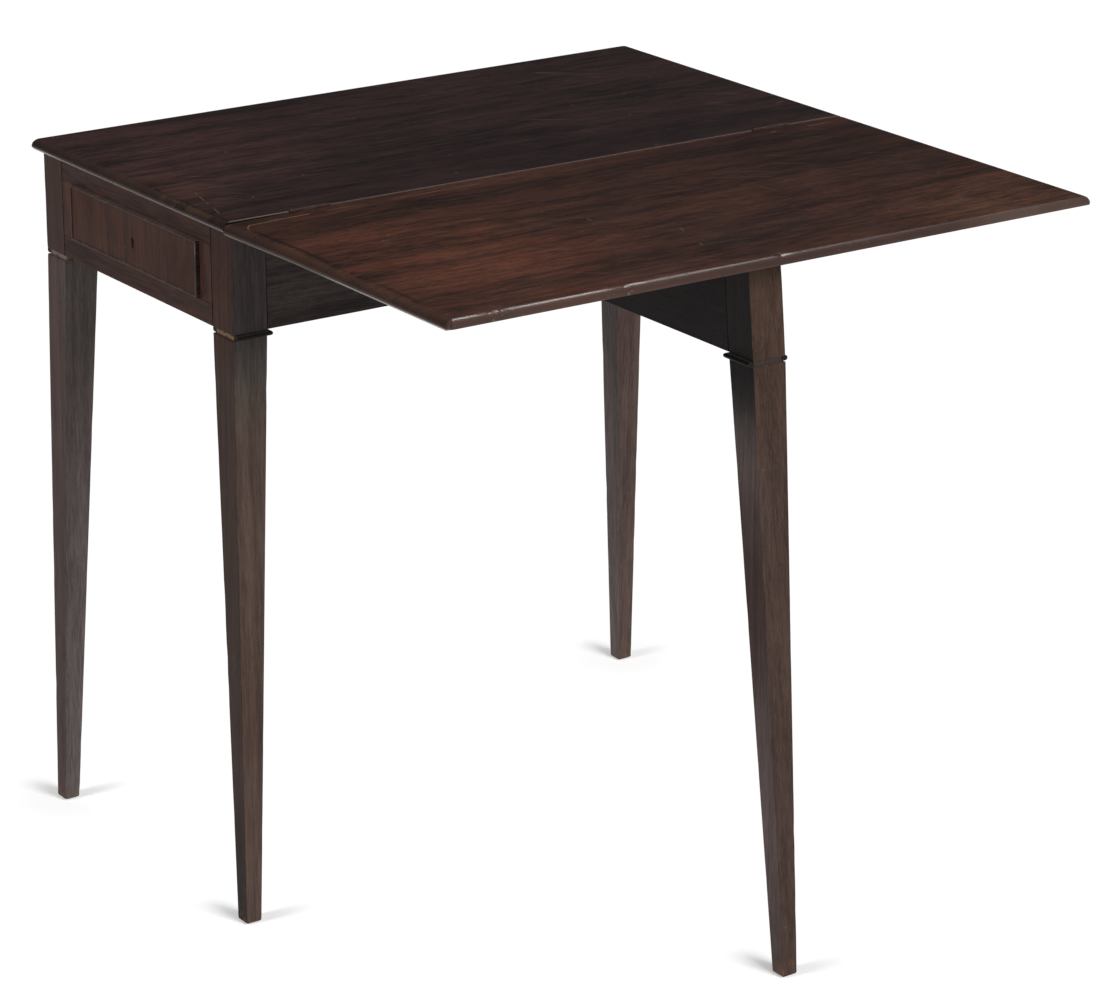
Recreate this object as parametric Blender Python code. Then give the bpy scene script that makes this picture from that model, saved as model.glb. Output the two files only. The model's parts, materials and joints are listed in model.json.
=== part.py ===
"""Fold-over table with one swinging gate leg and a drawer in its end, opened for use.

+X runs along the table, away from the drawer, +Y runs to the back, away from the leaf, and +Z is up.
The origin is on the floor, under the middle of the opened table. All sizes are in metres.
"""

import math

import bmesh
import bpy
from mathutils import Vector

for item in list(bpy.data.objects):
    bpy.data.objects.remove(item, do_unlink=True)

# Driving dimensions of the two boards
TABLE_HEIGHT = 0.720
TOP_LENGTH = 0.738
BOARD_DEPTH = 0.388
BOARD_THICKNESS = 0.0105
BOARD_CORNER = 0.006
NOSE_DEPTH = 0.0095
UNDER_CHAMFER_DEPTH = 0.0021
UNDER_CHAMFER_HEIGHT = 0.0025
CREASE_ARRIS = 0.0007
CREASE_GAP = 0.0006
FOLD_GAP = 0.0004

# Driving dimensions of the frame under the fixed board
END_OVERHANG = 0.009
BACK_OVERHANG = 0.0135
FRONT_OVERHANG = 0.002
FRIEZE_HEIGHT = 0.102
RAIL_THICKNESS = 0.018
INNER_RAIL_THICKNESS = 0.014
TENON_THICKNESS = 0.008
TENON_LENGTH = 0.020
TENON_SHOULDER = 0.014
STUB_LENGTH = 0.009
STUB_THICKNESS = 0.007
NEST_GAP = 0.001
PACKING_LENGTH = 0.050
PACKING_INSET = 0.012

# Driving dimensions of the legs and of the bead let into each of them
LEG_BLOCK = 0.038
LEG_FOOT = 0.017
LEG_KICK_X = 0.008
LEG_KICK_Y = 0.0115
FOOT_CHAMFER = 0.0015
COLLAR_DROP = 0.0006
COLLAR_HEIGHT = 0.0055
COLLAR_GROOVE = 0.0025
COLLAR_PROJECTION = 0.004

# Driving dimensions of the gate
GATE_LENGTH = 0.354
GATE_LEG_SPLAY = math.radians(6.0)
GATE_OPEN = math.radians(90.0)
KNUCKLE_FINGERS = 5
KNUCKLE_GAP = 0.0006
KNUCKLE_PIN = 0.006
GATE_STOP_LENGTH = 0.030
GATE_STOP_FROM_LEG = 0.040

# Driving dimensions of the drawer and of what carries it
STILE_WIDTH = 0.022
UPPER_RAIL = 0.022
LOWER_RAIL = 0.022
END_TENON_SHOULDER = 0.004
DRAWER_LENGTH = 0.460
DRAWER_GAP = 0.0008
DRAWER_FRONT = 0.018
DRAWER_LINING = 0.008
DRAWER_SIDE_DROP = 0.003
DRAWER_BACK_DROP = 0.006
DRAWER_FLOOR = 0.006
FLOOR_RISE = 0.005
FLOOR_GROOVE = 0.004
BACK_HOUSING = 0.003
TAIL_LENGTH = 0.011
TAIL_COUNT = 3
TAIL_SHARE = 0.62
TAIL_FLARE = math.radians(9.0)
DRAWER_PROUD = 0.0032
BEAD_THICKNESS = 0.0022
BEAD_DEPTH = 0.005
BEAD_PROUD = 0.0010
RUNNER_LAP = 0.010
RUNNER_HEIGHT = 0.016
GUIDE_HEIGHT = 0.014
STOP_LENGTH = 0.016

# Driving dimensions of the drawer's lock
KEYHOLE_RADIUS = 0.0021
KEYHOLE_SLOT = 0.0022
KEYHOLE_DROP = 0.0068
LINER_WALL = 0.0011
LINER_DEPTH = 0.003
LOCK_WIDTH = 0.050
LOCK_HEIGHT = 0.034
LOCK_DEPTH = 0.010
BOLT_WIDTH = 0.018
BOLT_HEIGHT = 0.013
BOLT_DEPTH = 0.005
BOLT_BEHIND_FACE = 0.0115
BOLT_SUNK = 0.001
BOLT_TRAVEL = 0.006

# Driving dimensions of the hinges and the screws
HINGE_FROM_END = 0.095
HINGE_LENGTH = 0.045
HINGE_KNUCKLES = 3
HINGE_BARREL = 0.0014
HINGE_PIN = 0.0006
HINGE_PLATE = 0.0009
HINGE_PLATE_HEIGHT = 0.006
SCREW_SHANK = 0.002
SCREW_HEAD = 0.004
SCREW_HEAD_HEIGHT = 0.0026
SCREW_BITE = 0.006
SCREW_POINT = 0.003
SCREW_FROM_END = 0.130

# Running and glue clearance, and how far a cutter reaches past what it cuts
CLEARANCE = 0.0003
OVERCUT = 0.002

# Places along X
FRAME_LEFT = -TOP_LENGTH / 2 + END_OVERHANG
FRAME_RIGHT = TOP_LENGTH / 2 - END_OVERHANG
KNUCKLE_X = FRAME_RIGHT - GATE_LENGTH
END_RAIL_BACK = FRAME_LEFT + RAIL_THICKNESS
DRAWER_END = FRAME_LEFT + DRAWER_LENGTH

# Heights
UNDERSIDE = TABLE_HEIGHT - BOARD_THICKNESS
FRAME_TOP = UNDERSIDE - CLEARANCE
FRIEZE_BOTTOM = FRAME_TOP - FRIEZE_HEIGHT
COLLAR_TOP = FRIEZE_BOTTOM - COLLAR_DROP
COLLAR_BOTTOM = COLLAR_TOP - COLLAR_HEIGHT
LEAF_AXIS_Z = TABLE_HEIGHT + FOLD_GAP / 2
OPENING_BOTTOM = FRIEZE_BOTTOM + LOWER_RAIL
OPENING_TOP = FRAME_TOP - UPPER_RAIL
DRAWER_TOP = OPENING_TOP - DRAWER_GAP
DRAWER_BOTTOM = OPENING_BOTTOM + DRAWER_GAP
FLOOR_BOTTOM = DRAWER_BOTTOM + FLOOR_RISE
FLOOR_TOP = FLOOR_BOTTOM + DRAWER_FLOOR
KEYHOLE_Z = (DRAWER_TOP + DRAWER_BOTTOM) / 2

# Places along Y: the crease stands so that the opened table is centred on the origin
SPLAY_SLOPE = math.tan(GATE_LEG_SPLAY)
BACK_REACH = CREASE_GAP / 2 + BOARD_DEPTH
FOOT_FLARE = SPLAY_SLOPE * (FRIEZE_BOTTOM - FOOT_CHAMFER)
FOOT_REACH = GATE_LENGTH + FOOT_FLARE - CREASE_GAP / 2 - FRONT_OVERHANG - RAIL_THICKNESS / 2
CREASE_Y = (max(BACK_REACH, FOOT_REACH) - BACK_REACH) / 2
FIXED_EDGE = CREASE_Y + CREASE_GAP / 2
LEAF_EDGE = CREASE_Y - CREASE_GAP / 2
FRAME_FRONT = FIXED_EDGE + FRONT_OVERHANG
FRAME_BACK = FIXED_EDGE + BOARD_DEPTH - BACK_OVERHANG
KNUCKLE_Y = FRAME_FRONT + RAIL_THICKNESS / 2
INNER_RAIL_FRONT = FRAME_FRONT + LEG_BLOCK + NEST_GAP
INNER_RAIL_BACK = INNER_RAIL_FRONT + INNER_RAIL_THICKNESS
OPENING_FRONT = FRAME_FRONT + LEG_BLOCK + STILE_WIDTH
OPENING_BACK = FRAME_BACK - LEG_BLOCK - STILE_WIDTH
DRAWER_FRONT_SIDE = OPENING_FRONT + DRAWER_GAP
DRAWER_BACK_SIDE = OPENING_BACK - DRAWER_GAP
LOCK_Y = (OPENING_FRONT + OPENING_BACK) / 2

FINISHES = {
    "mahogany": ((0.062, 0.026, 0.017), 0.32, 0.0),
    "dark_mahogany": ((0.034, 0.017, 0.013), 0.34, 0.0),
    "oak": ((0.30, 0.19, 0.10), 0.62, 0.0),
    "brass": ((0.42, 0.29, 0.11), 0.38, 1.0),
    "iron": ((0.09, 0.08, 0.075), 0.48, 1.0),
}


def finish_material(name, finish):
    """One Principled material for one piece."""
    colour, roughness, metallic = FINISHES[finish]
    material = bpy.data.materials.new(name + "_" + finish)
    material.use_nodes = True
    shader = material.node_tree.nodes["Principled BSDF"]
    shader.inputs["Base Color"].default_value = (*colour, 1.0)
    shader.inputs["Roughness"].default_value = roughness
    shader.inputs["Metallic"].default_value = metallic
    return material


def pivot(name, place, turn=0.0):
    """An empty on a joint's axis, which carries the pieces that move about it."""
    empty = bpy.data.objects.new(name, None)
    empty.location = place
    empty.rotation_euler = (0.0, 0.0, turn)
    bpy.context.collection.objects.link(empty)
    return empty


def body(name, mesh_edit, carrier=None):
    """An object from a bmesh given in world places, hung on its carrier if it has one."""
    if carrier:
        bmesh.ops.translate(mesh_edit, verts=mesh_edit.verts, vec=-Vector(carrier.location))
    mesh = bpy.data.meshes.new(name)
    mesh_edit.to_mesh(mesh)
    mesh_edit.free()
    solid = bpy.data.objects.new(name, mesh)
    bpy.context.collection.objects.link(solid)
    solid.parent = carrier
    return solid


def piece(name, mesh_edit, finish, carrier=None):
    solid = body(name, mesh_edit, carrier)
    solid.data.materials.append(finish_material(name, finish))
    return solid


def tool(name, mesh_edit, carrier=None):
    """A hidden solid that shapes a piece."""
    solid = body(name, mesh_edit, carrier)
    solid.hide_render = True
    solid.display_type = "WIRE"
    return solid


def combine(solid, other, operation="DIFFERENCE"):
    modifier = solid.modifiers.new(other.name, "BOOLEAN")
    modifier.operation = operation
    modifier.object = other
    modifier.solver = "EXACT"


def rect_x(x, y0, y1, z0, z1):
    return [(x, y0, z0), (x, y1, z0), (x, y1, z1), (x, y0, z1)]


def rect_y(y, x0, x1, z0, z1):
    return [(x0, y, z0), (x1, y, z0), (x1, y, z1), (x0, y, z1)]


def rect_z(z, x0, x1, y0, y1):
    return [(x0, y0, z), (x1, y0, z), (x1, y1, z), (x0, y1, z)]


def arc(centre, radius, start, end, steps):
    """Points along an arc, as pairs, from one angle to another in degrees."""
    angles = [math.radians(start + (end - start) * step / steps) for step in range(steps + 1)]
    return [(centre[0] + radius * math.cos(a), centre[1] + radius * math.sin(a)) for a in angles]


def loft(sections, mesh_edit=None):
    """A closed solid through sections that have the same number of points, by repeated extrusion."""
    mesh_edit = mesh_edit or bmesh.new()
    face = mesh_edit.faces.new([mesh_edit.verts.new(point) for point in sections[0]])
    for number, (before, after) in enumerate(zip(sections, sections[1:])):
        if number == 0:
            grown = bmesh.ops.extrude_face_region(mesh_edit, geom=[face])["geom"]
            face = next(item for item in grown if isinstance(item, bmesh.types.BMFace))
        else:
            face = bmesh.ops.extrude_discrete_faces(mesh_edit, faces=[face])["faces"][0]
        for vert in face.verts:
            distances = [(vert.co - Vector(point)).length for point in before]
            vert.co = after[distances.index(min(distances))]
    bmesh.ops.recalc_face_normals(mesh_edit, faces=mesh_edit.faces)
    return mesh_edit


def box(x0, x1, y0, y1, z0, z1, mesh_edit=None):
    return loft([rect_z(z0, x0, x1, y0, y1), rect_z(z1, x0, x1, y0, y1)], mesh_edit)


def rod(x, y, stations, sides=16):
    """An upright round solid through (height, radius) stations."""
    last = 360 - 360 / sides
    rings = [[(*point, z) for point in arc((x, y), radius, 0, last, sides - 1)] for z, radius in stations]
    return loft(rings)


def splay(mesh_edit, beyond=None):
    """Leans a gate piece outwards below the frieze, or only the part of it beyond a place along X."""
    for vert in mesh_edit.verts:
        if beyond is None or vert.co.x > beyond:
            vert.co.x += SPLAY_SLOPE * (FRIEZE_BOTTOM - vert.co.z)
    return mesh_edit


# The boards
def board_outline(z, edge, outwards, inset, crease_inset):
    """A board's outline at one height: square at the crease, with two rounded corners outside."""
    half = TOP_LENGTH / 2 - inset
    near = edge + outwards * crease_inset
    radius = BOARD_CORNER - inset / 2
    far = edge + outwards * (BOARD_DEPTH - inset - radius)
    side = half - radius
    right = arc((side, far), radius, 0, outwards * 90, 4)
    left = arc((-side, far), radius, outwards * 90, outwards * 180, 4)
    return [(x, y, z) for x, y in [(half, near)] + right + left + [(-half, near)]]


def board(edge, outwards):
    """A thin board whose top curves down to a small chamfer under its edge, with a crisp crease."""
    spring = UNDERSIDE + UNDER_CHAMFER_HEIGHT
    levels = [(UNDERSIDE, UNDER_CHAMFER_DEPTH, 0.0)]
    for step in range(8):
        angle = math.radians(90) * step / 8
        height = spring + (TABLE_HEIGHT - spring) * math.sin(angle)
        levels.append((height, NOSE_DEPTH * (1 - math.cos(angle)), 0.0))
    levels.append((TABLE_HEIGHT, NOSE_DEPTH, CREASE_ARRIS))
    return loft([board_outline(z, edge, outwards, inset, crease) for z, inset, crease in levels])


def hinge_span(side):
    """The ends along X of the hinge on one side of the table."""
    middle = side * (TOP_LENGTH / 2 - HINGE_FROM_END)
    return middle - HINGE_LENGTH / 2, middle + HINGE_LENGTH / 2


PLATE_TOP = LEAF_AXIS_Z - HINGE_BARREL - 2 * CLEARANCE
PLATE_BOTTOM = PLATE_TOP - HINGE_PLATE_HEIGHT


def lying_rod(x0, x1, radius, sides=16):
    """A round solid along the leaf's axis."""
    ring = arc((CREASE_Y, LEAF_AXIS_Z), radius, 0, 360 - 360 / sides, sides - 1)
    return loft([[(x, y, z) for y, z in ring] for x in (x0, x1)])


def hinge_half(name, side, outwards, own, carrier=None):
    """One plate of a hinge, let into the crease face of its board, with its share of the knuckles."""
    x0, x1 = hinge_span(side)
    near = CREASE_GAP / 2
    far = near + HINGE_PLATE
    ends = sorted((CREASE_Y + outwards * near, CREASE_Y + outwards * far))
    half = piece(name, box(x0, x1, *ends, PLATE_BOTTOM, PLATE_TOP), "brass", carrier)
    start = -math.degrees(math.acos(far / HINGE_BARREL))
    end = 360 - math.degrees(math.acos(near / HINGE_BARREL))
    rim = arc((0, 0), HINGE_BARREL, start, end, 16)
    foot = PLATE_TOP - LEAF_AXIS_Z - HINGE_PLATE_HEIGHT / 2
    outline = rim + [(near, foot), (far, foot)]
    length = HINGE_LENGTH / HINGE_KNUCKLES
    for number in own:
        ends_x = (x0 + number * length + CLEARANCE / 2, x0 + (number + 1) * length - CLEARANCE / 2)
        rings = [[(x, CREASE_Y + outwards * y, LEAF_AXIS_Z + z) for y, z in outline] for x in ends_x]
        combine(half, tool(f"{name}_knuckle_{number}", loft(rings), carrier), "UNION")
    bore = tool(name + "_bore", lying_rod(x0 - OVERCUT, x1 + OVERCUT, HINGE_PIN + CLEARANCE), carrier)
    combine(half, bore)
    return half


def let_in_hinge(top, side, outwards, carrier=None):
    """Cuts a board for a hinge's plate and for the round of its barrel."""
    x0, x1 = hinge_span(side)
    x0 -= CLEARANCE
    x1 += CLEARANCE
    deep = CREASE_GAP / 2 + HINGE_PLATE + CLEARANCE
    ends = sorted((CREASE_Y - outwards * CREASE_GAP, CREASE_Y + outwards * deep))
    label = f"{top.name}_hinge_{'left' if side < 0 else 'right'}"
    plate = box(x0, x1, *ends, PLATE_BOTTOM - CLEARANCE, LEAF_AXIS_Z + OVERCUT)
    combine(top, tool(label + "_plate_recess", plate, carrier))
    barrel = lying_rod(x0, x1, HINGE_BARREL + CLEARANCE)
    combine(top, tool(label + "_barrel_recess", barrel, carrier))


leaf_pivot = pivot("leaf_pivot", (0.0, CREASE_Y, LEAF_AXIS_Z))
fixed_top = piece("fixed_top", board(FIXED_EDGE, 1), "dark_mahogany")
leaf_board = piece("leaf_board", board(LEAF_EDGE, -1), "mahogany", leaf_pivot)
for side, word in ((-1, "left"), (1, "right")):
    let_in_hinge(fixed_top, side, 1)
    let_in_hinge(leaf_board, side, -1, leaf_pivot)
    hinge_half(f"hinge_{word}_fixed", side, 1, (0, 2))
    hinge_half(f"hinge_{word}_leaf", side, -1, (1,), leaf_pivot)
    piece(f"hinge_{word}_pin", lying_rod(*hinge_span(side), HINGE_PIN, 12), "iron")


# The legs and their beads
def square(z, corner, inwards, near, far):
    """A leg's section at one height, from two distances in from its outer corner."""
    x0, x1 = (corner[0] + inwards[0] * step for step in (near, far))
    y0, y1 = (corner[1] + inwards[1] * step for step in (near, far))
    return rect_z(z, x0, x1, y0, y1)


def leg(corner, inwards, kick=(0.0, 0.0)):
    """A square leg, tapered on its inner faces below the bead's groove, its foot kicked out by some way."""
    taper = (LEG_BLOCK - LEG_FOOT) / COLLAR_BOTTOM
    stations = [
        (FRAME_TOP, 0.0, LEG_BLOCK),
        (COLLAR_TOP, 0.0, LEG_BLOCK),
        (COLLAR_TOP, COLLAR_GROOVE, LEG_BLOCK - COLLAR_GROOVE),
        (COLLAR_BOTTOM, COLLAR_GROOVE, LEG_BLOCK - COLLAR_GROOVE),
        (COLLAR_BOTTOM, 0.0, LEG_BLOCK),
        (FOOT_CHAMFER, 0.0, LEG_FOOT + taper * FOOT_CHAMFER),
        (0.0, FOOT_CHAMFER, LEG_FOOT - FOOT_CHAMFER),
    ]
    sections = []
    for z, near, far in stations:
        share = max(0.0, 1 - z / COLLAR_BOTTOM)
        moved = [place - way * out * share for place, way, out in zip(corner, inwards, kick)]
        sections.append(square(z, moved, inwards, near, far))
    return loft(sections)


def collar_levels(corner, inwards):
    """The round-nosed bead, before its middle is cut out."""
    low = COLLAR_BOTTOM + CLEARANCE
    high = COLLAR_TOP - CLEARANCE
    nose = (high - low) / 2
    sections = []
    for step in range(7):
        angle = math.pi * (step / 6 - 0.5)
        reach = COLLAR_PROJECTION - nose + nose * math.cos(angle)
        z = (low + high) / 2 + nose * math.sin(angle)
        sections.append(square(z, corner, inwards, -reach, LEG_BLOCK + reach))
    return loft(sections)


def collar(name, corner, inwards, lost, finish, carrier=None, shape=lambda made: made):
    """The bead round one leg, without the stretches that are lost, named by face."""
    ring = piece(name, shape(collar_levels(corner, inwards)), finish, carrier)
    near = COLLAR_GROOVE - CLEARANCE
    levels = (COLLAR_BOTTOM - OVERCUT, COLLAR_TOP + OVERCUT)
    neck = loft([square(z, corner, inwards, near, LEG_BLOCK - near) for z in levels])
    combine(ring, tool(name + "_neck", shape(neck), carrier))
    reach = COLLAR_PROJECTION + OVERCUT
    for axis, face in lost:
        ends = [(-reach, LEG_BLOCK + reach), (-reach, LEG_BLOCK + reach)]
        ends[axis] = (-reach, COLLAR_GROOVE)
        if face == "inner":
            ends[axis] = (LEG_BLOCK - COLLAR_GROOVE, LEG_BLOCK + reach)
        xs = [corner[0] + inwards[0] * step for step in ends[0]]
        ys = [corner[1] + inwards[1] * step for step in ends[1]]
        gap = box(*sorted(xs), *sorted(ys), *levels)
        combine(ring, tool(f"{name}_lost_{axis}_{face}", shape(gap), carrier))
    return ring


BACK_LEFT = ((FRAME_LEFT, FRAME_BACK), (1, -1))
FRONT_LEFT = ((FRAME_LEFT, FRAME_FRONT), (1, 1))
BACK_RIGHT = ((FRAME_RIGHT, FRAME_BACK), (-1, -1))
FRONT_RIGHT = ((FRAME_RIGHT, FRAME_FRONT), (-1, 1))

leg_back_left = piece("leg_back_left", leg(*BACK_LEFT, (LEG_KICK_X, LEG_KICK_Y)), "mahogany")
leg_front_left = piece("leg_front_left", leg(*FRONT_LEFT, (LEG_KICK_X, LEG_KICK_Y)), "mahogany")
leg_back_right = piece("leg_back_right", leg(*BACK_RIGHT, (LEG_KICK_X, LEG_KICK_Y)), "mahogany")
collar("collar_back_left", *BACK_LEFT, [(0, "outer"), (1, "inner")], "dark_mahogany")
collar("collar_front_left", *FRONT_LEFT, [(0, "outer")], "dark_mahogany")
collar("collar_back_right", *BACK_RIGHT, [], "dark_mahogany")


# The rails, tenoned into the legs
def tenon_heights(low, high, shoulder):
    return low + shoulder, high - shoulder


def mortise(solid, name, x, y, z, carrier=None, shape=lambda made: made):
    """Cuts a tenon's place, with room for glue all round. Each pair gives its ends on one axis."""
    ends = [edge for pair in (x, y, z) for edge in (min(pair) - CLEARANCE, max(pair) + CLEARANCE)]
    combine(solid, tool(name, shape(box(*ends)), carrier))


def rail_along_y(name, x0, z0, z1, shoulder, finish):
    """An end rail between the two left legs, with a tenon in each."""
    x1 = x0 + RAIL_THICKNESS
    middle = (x0 + x1) / 2
    tenon_x = (middle - TENON_THICKNESS / 2, middle + TENON_THICKNESS / 2)
    tenon_z = tenon_heights(z0, z1, shoulder)
    front = FRAME_FRONT + LEG_BLOCK + CLEARANCE
    back = FRAME_BACK - LEG_BLOCK - CLEARANCE
    sections = [
        rect_y(front - TENON_LENGTH, *tenon_x, *tenon_z),
        rect_y(front, *tenon_x, *tenon_z),
        rect_y(front, x0, x1, z0, z1),
        rect_y(back, x0, x1, z0, z1),
        rect_y(back, *tenon_x, *tenon_z),
        rect_y(back + TENON_LENGTH, *tenon_x, *tenon_z),
    ]
    front_y = (front - TENON_LENGTH, front + OVERCUT)
    back_y = (back - OVERCUT, back + TENON_LENGTH)
    mortise(leg_front_left, name + "_front_mortise", tenon_x, front_y, tenon_z)
    mortise(leg_back_left, name + "_back_mortise", tenon_x, back_y, tenon_z)
    return piece(name, loft(sections), finish)


def back_rail():
    y0, y1 = FRAME_BACK - RAIL_THICKNESS, FRAME_BACK
    middle = (y0 + y1) / 2
    tenon_y = (middle - TENON_THICKNESS / 2, middle + TENON_THICKNESS / 2)
    tenon_z = tenon_heights(FRIEZE_BOTTOM, FRAME_TOP, TENON_SHOULDER)
    left = FRAME_LEFT + LEG_BLOCK + CLEARANCE
    right = FRAME_RIGHT - LEG_BLOCK - CLEARANCE
    sections = [
        rect_x(left - TENON_LENGTH, *tenon_y, *tenon_z),
        rect_x(left, *tenon_y, *tenon_z),
        rect_x(left, y0, y1, FRIEZE_BOTTOM, FRAME_TOP),
        rect_x(right, y0, y1, FRIEZE_BOTTOM, FRAME_TOP),
        rect_x(right, *tenon_y, *tenon_z),
        rect_x(right + TENON_LENGTH, *tenon_y, *tenon_z),
    ]
    left_x = (left - TENON_LENGTH, left + OVERCUT)
    right_x = (right - OVERCUT, right + TENON_LENGTH)
    mortise(leg_back_left, "back_rail_left_mortise", left_x, tenon_y, tenon_z)
    mortise(leg_back_right, "back_rail_right_mortise", right_x, tenon_y, tenon_z)
    return piece("back_rail", loft(sections), "mahogany")


def right_end_rail():
    """Stops short of the front corner, where the closed gate leg stands."""
    x0, x1 = FRAME_RIGHT - RAIL_THICKNESS, FRAME_RIGHT
    middle = (x0 + x1) / 2
    tenon_x = (middle - TENON_THICKNESS / 2, middle + TENON_THICKNESS / 2)
    tenon_z = tenon_heights(FRIEZE_BOTTOM, FRAME_TOP, TENON_SHOULDER)
    back = FRAME_BACK - LEG_BLOCK - CLEARANCE
    sections = [
        rect_y(INNER_RAIL_FRONT, x0, x1, FRIEZE_BOTTOM, FRAME_TOP),
        rect_y(back, x0, x1, FRIEZE_BOTTOM, FRAME_TOP),
        rect_y(back, *tenon_x, *tenon_z),
        rect_y(back + TENON_LENGTH, *tenon_x, *tenon_z),
    ]
    back_y = (back - OVERCUT, back + TENON_LENGTH)
    mortise(leg_back_right, "right_end_rail_mortise", tenon_x, back_y, tenon_z)
    return piece("right_end_rail", loft(sections), "mahogany")


def inner_front_rail(stile, end_rail):
    """The hidden rail behind the gate, with a stub tenon in the stile and one in the right end rail."""
    middle = (INNER_RAIL_FRONT + INNER_RAIL_BACK) / 2
    stub_y = (middle - STUB_THICKNESS / 2, middle + STUB_THICKNESS / 2)
    stub_z = tenon_heights(OPENING_BOTTOM, OPENING_TOP, TENON_SHOULDER)
    left = END_RAIL_BACK + CLEARANCE
    right = FRAME_RIGHT - RAIL_THICKNESS - CLEARANCE
    body_y = (INNER_RAIL_FRONT, INNER_RAIL_BACK)
    sections = [
        rect_x(left - STUB_LENGTH, *stub_y, *stub_z),
        rect_x(left, *stub_y, *stub_z),
        rect_x(left, *body_y, FRIEZE_BOTTOM, FRAME_TOP),
        rect_x(right, *body_y, FRIEZE_BOTTOM, FRAME_TOP),
        rect_x(right, *stub_y, *stub_z),
        rect_x(right + STUB_LENGTH, *stub_y, *stub_z),
    ]
    mortise(stile, "inner_rail_left_mortise", (left - STUB_LENGTH, left + OVERCUT), stub_y, stub_z)
    mortise(end_rail, "inner_rail_right_mortise", (right - OVERCUT, right + STUB_LENGTH), stub_y, stub_z)
    return piece("inner_front_rail", loft(sections), "oak")


def finger_heights(number):
    pitch = FRIEZE_HEIGHT / KNUCKLE_FINGERS
    low = FRIEZE_BOTTOM + number * pitch - CLEARANCE / 2
    high = low + pitch + CLEARANCE
    if number == 0:
        low -= OVERCUT
    if number == KNUCKLE_FINGERS - 1:
        high += OVERCUT
    return low, high


def cut_fingers(rail, numbers, x0, x1, carrier=None):
    """Opens the slots that take the other rail's fingers, and the pin's bore through those that stay."""
    for number in numbers:
        low, high = finger_heights(number)
        slot = box(x0, x1, FRAME_FRONT - OVERCUT, FRAME_FRONT + RAIL_THICKNESS + OVERCUT, low, high)
        combine(rail, tool(f"{rail.name}_slot_{number}", slot, carrier))
    ends = (FRIEZE_BOTTOM - OVERCUT, FRAME_TOP + OVERCUT)
    bore = rod(KNUCKLE_X, KNUCKLE_Y, [(z, KNUCKLE_PIN / 2 + CLEARANCE) for z in ends])
    combine(rail, tool(rail.name + "_pin_bore", bore, carrier))


def knuckled_rail(outline):
    """A rail from its plan, extruded through the height of the frieze."""
    return loft([[(x, y, z) for x, y in outline] for z in (FRIEZE_BOTTOM, FRAME_TOP)])


ROUND = RAIL_THICKNESS / 2
FRONT_TENON_Y = (KNUCKLE_Y - TENON_THICKNESS / 2, KNUCKLE_Y + TENON_THICKNESS / 2)
FRONT_TENON_Z = tenon_heights(FRIEZE_BOTTOM, FRAME_TOP, TENON_SHOULDER)


def outer_front_rail():
    """The fixed half of the front, from the left leg to the knuckle that carries the gate."""
    left = FRAME_LEFT + LEG_BLOCK + CLEARANCE
    nose = arc((KNUCKLE_X, KNUCKLE_Y), ROUND, -90, 90, 10)
    outline = [(left, FRAME_FRONT)] + nose + [(left, FRAME_FRONT + RAIL_THICKNESS)]
    rail = piece("outer_front_rail", knuckled_rail(outline), "mahogany")
    tenon_x = (left - TENON_LENGTH, left + TENON_LENGTH)
    tenon = box(*tenon_x, *FRONT_TENON_Y, *FRONT_TENON_Z)
    combine(rail, tool("outer_front_rail_tenon", tenon), "UNION")
    mortise(leg_front_left, "outer_front_rail_mortise", tenon_x, FRONT_TENON_Y, FRONT_TENON_Z)
    near_side = KNUCKLE_X - ROUND - KNUCKLE_GAP
    cut_fingers(rail, range(1, KNUCKLE_FINGERS, 2), near_side, KNUCKLE_X + ROUND + OVERCUT)
    return rail


# The end frame round the drawer
drawer_lower_rail = rail_along_y(
    "drawer_lower_rail", FRAME_LEFT, FRIEZE_BOTTOM, OPENING_BOTTOM, END_TENON_SHOULDER, "mahogany"
)
drawer_upper_rail = rail_along_y(
    "drawer_upper_rail", FRAME_LEFT, OPENING_TOP, FRAME_TOP, END_TENON_SHOULDER, "mahogany"
)
STILE_ENDS = (OPENING_BOTTOM + CLEARANCE, OPENING_TOP - CLEARANCE)
drawer_stile_front = piece(
    "drawer_stile_front",
    box(FRAME_LEFT, END_RAIL_BACK, FRAME_FRONT + LEG_BLOCK + CLEARANCE, OPENING_FRONT, *STILE_ENDS),
    "mahogany",
)
piece(
    "drawer_stile_back",
    box(FRAME_LEFT, END_RAIL_BACK, OPENING_BACK, FRAME_BACK - LEG_BLOCK - CLEARANCE, *STILE_ENDS),
    "mahogany",
)
back_rail()
inner_front_rail(drawer_stile_front, right_end_rail())
outer_front_rail()
KNUCKLE_PIN_ENDS = (FRIEZE_BOTTOM, FRAME_TOP - CLEARANCE)
piece("knuckle_pin", rod(KNUCKLE_X, KNUCKLE_Y, [(z, KNUCKLE_PIN / 2) for z in KNUCKLE_PIN_ENDS]), "iron")

PACKING_Y = (FRAME_FRONT + RAIL_THICKNESS + CLEARANCE, INNER_RAIL_FRONT - CLEARANCE)
PACKING_STARTS = {
    "packing_block_left": FRAME_LEFT + LEG_BLOCK + PACKING_INSET,
    "packing_block_right": KNUCKLE_X - ROUND - PACKING_INSET - PACKING_LENGTH,
}
for name, start in PACKING_STARTS.items():
    piece(name, box(start, start + PACKING_LENGTH, *PACKING_Y, FRIEZE_BOTTOM, FRAME_TOP), "oak")
GATE_STOP_END = FRAME_RIGHT - LEG_BLOCK - GATE_STOP_FROM_LEG
piece(
    "gate_stop",
    box(GATE_STOP_END - GATE_STOP_LENGTH, GATE_STOP_END, *PACKING_Y, FRIEZE_BOTTOM, FRAME_TOP),
    "oak",
)


# The gate, described closed along the front and then swung open on its pin
gate_pivot = pivot("gate_pivot", (KNUCKLE_X, KNUCKLE_Y, 0.0), -GATE_OPEN)
GATE_RAIL_END = FRAME_RIGHT - LEG_BLOCK - CLEARANCE


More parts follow.
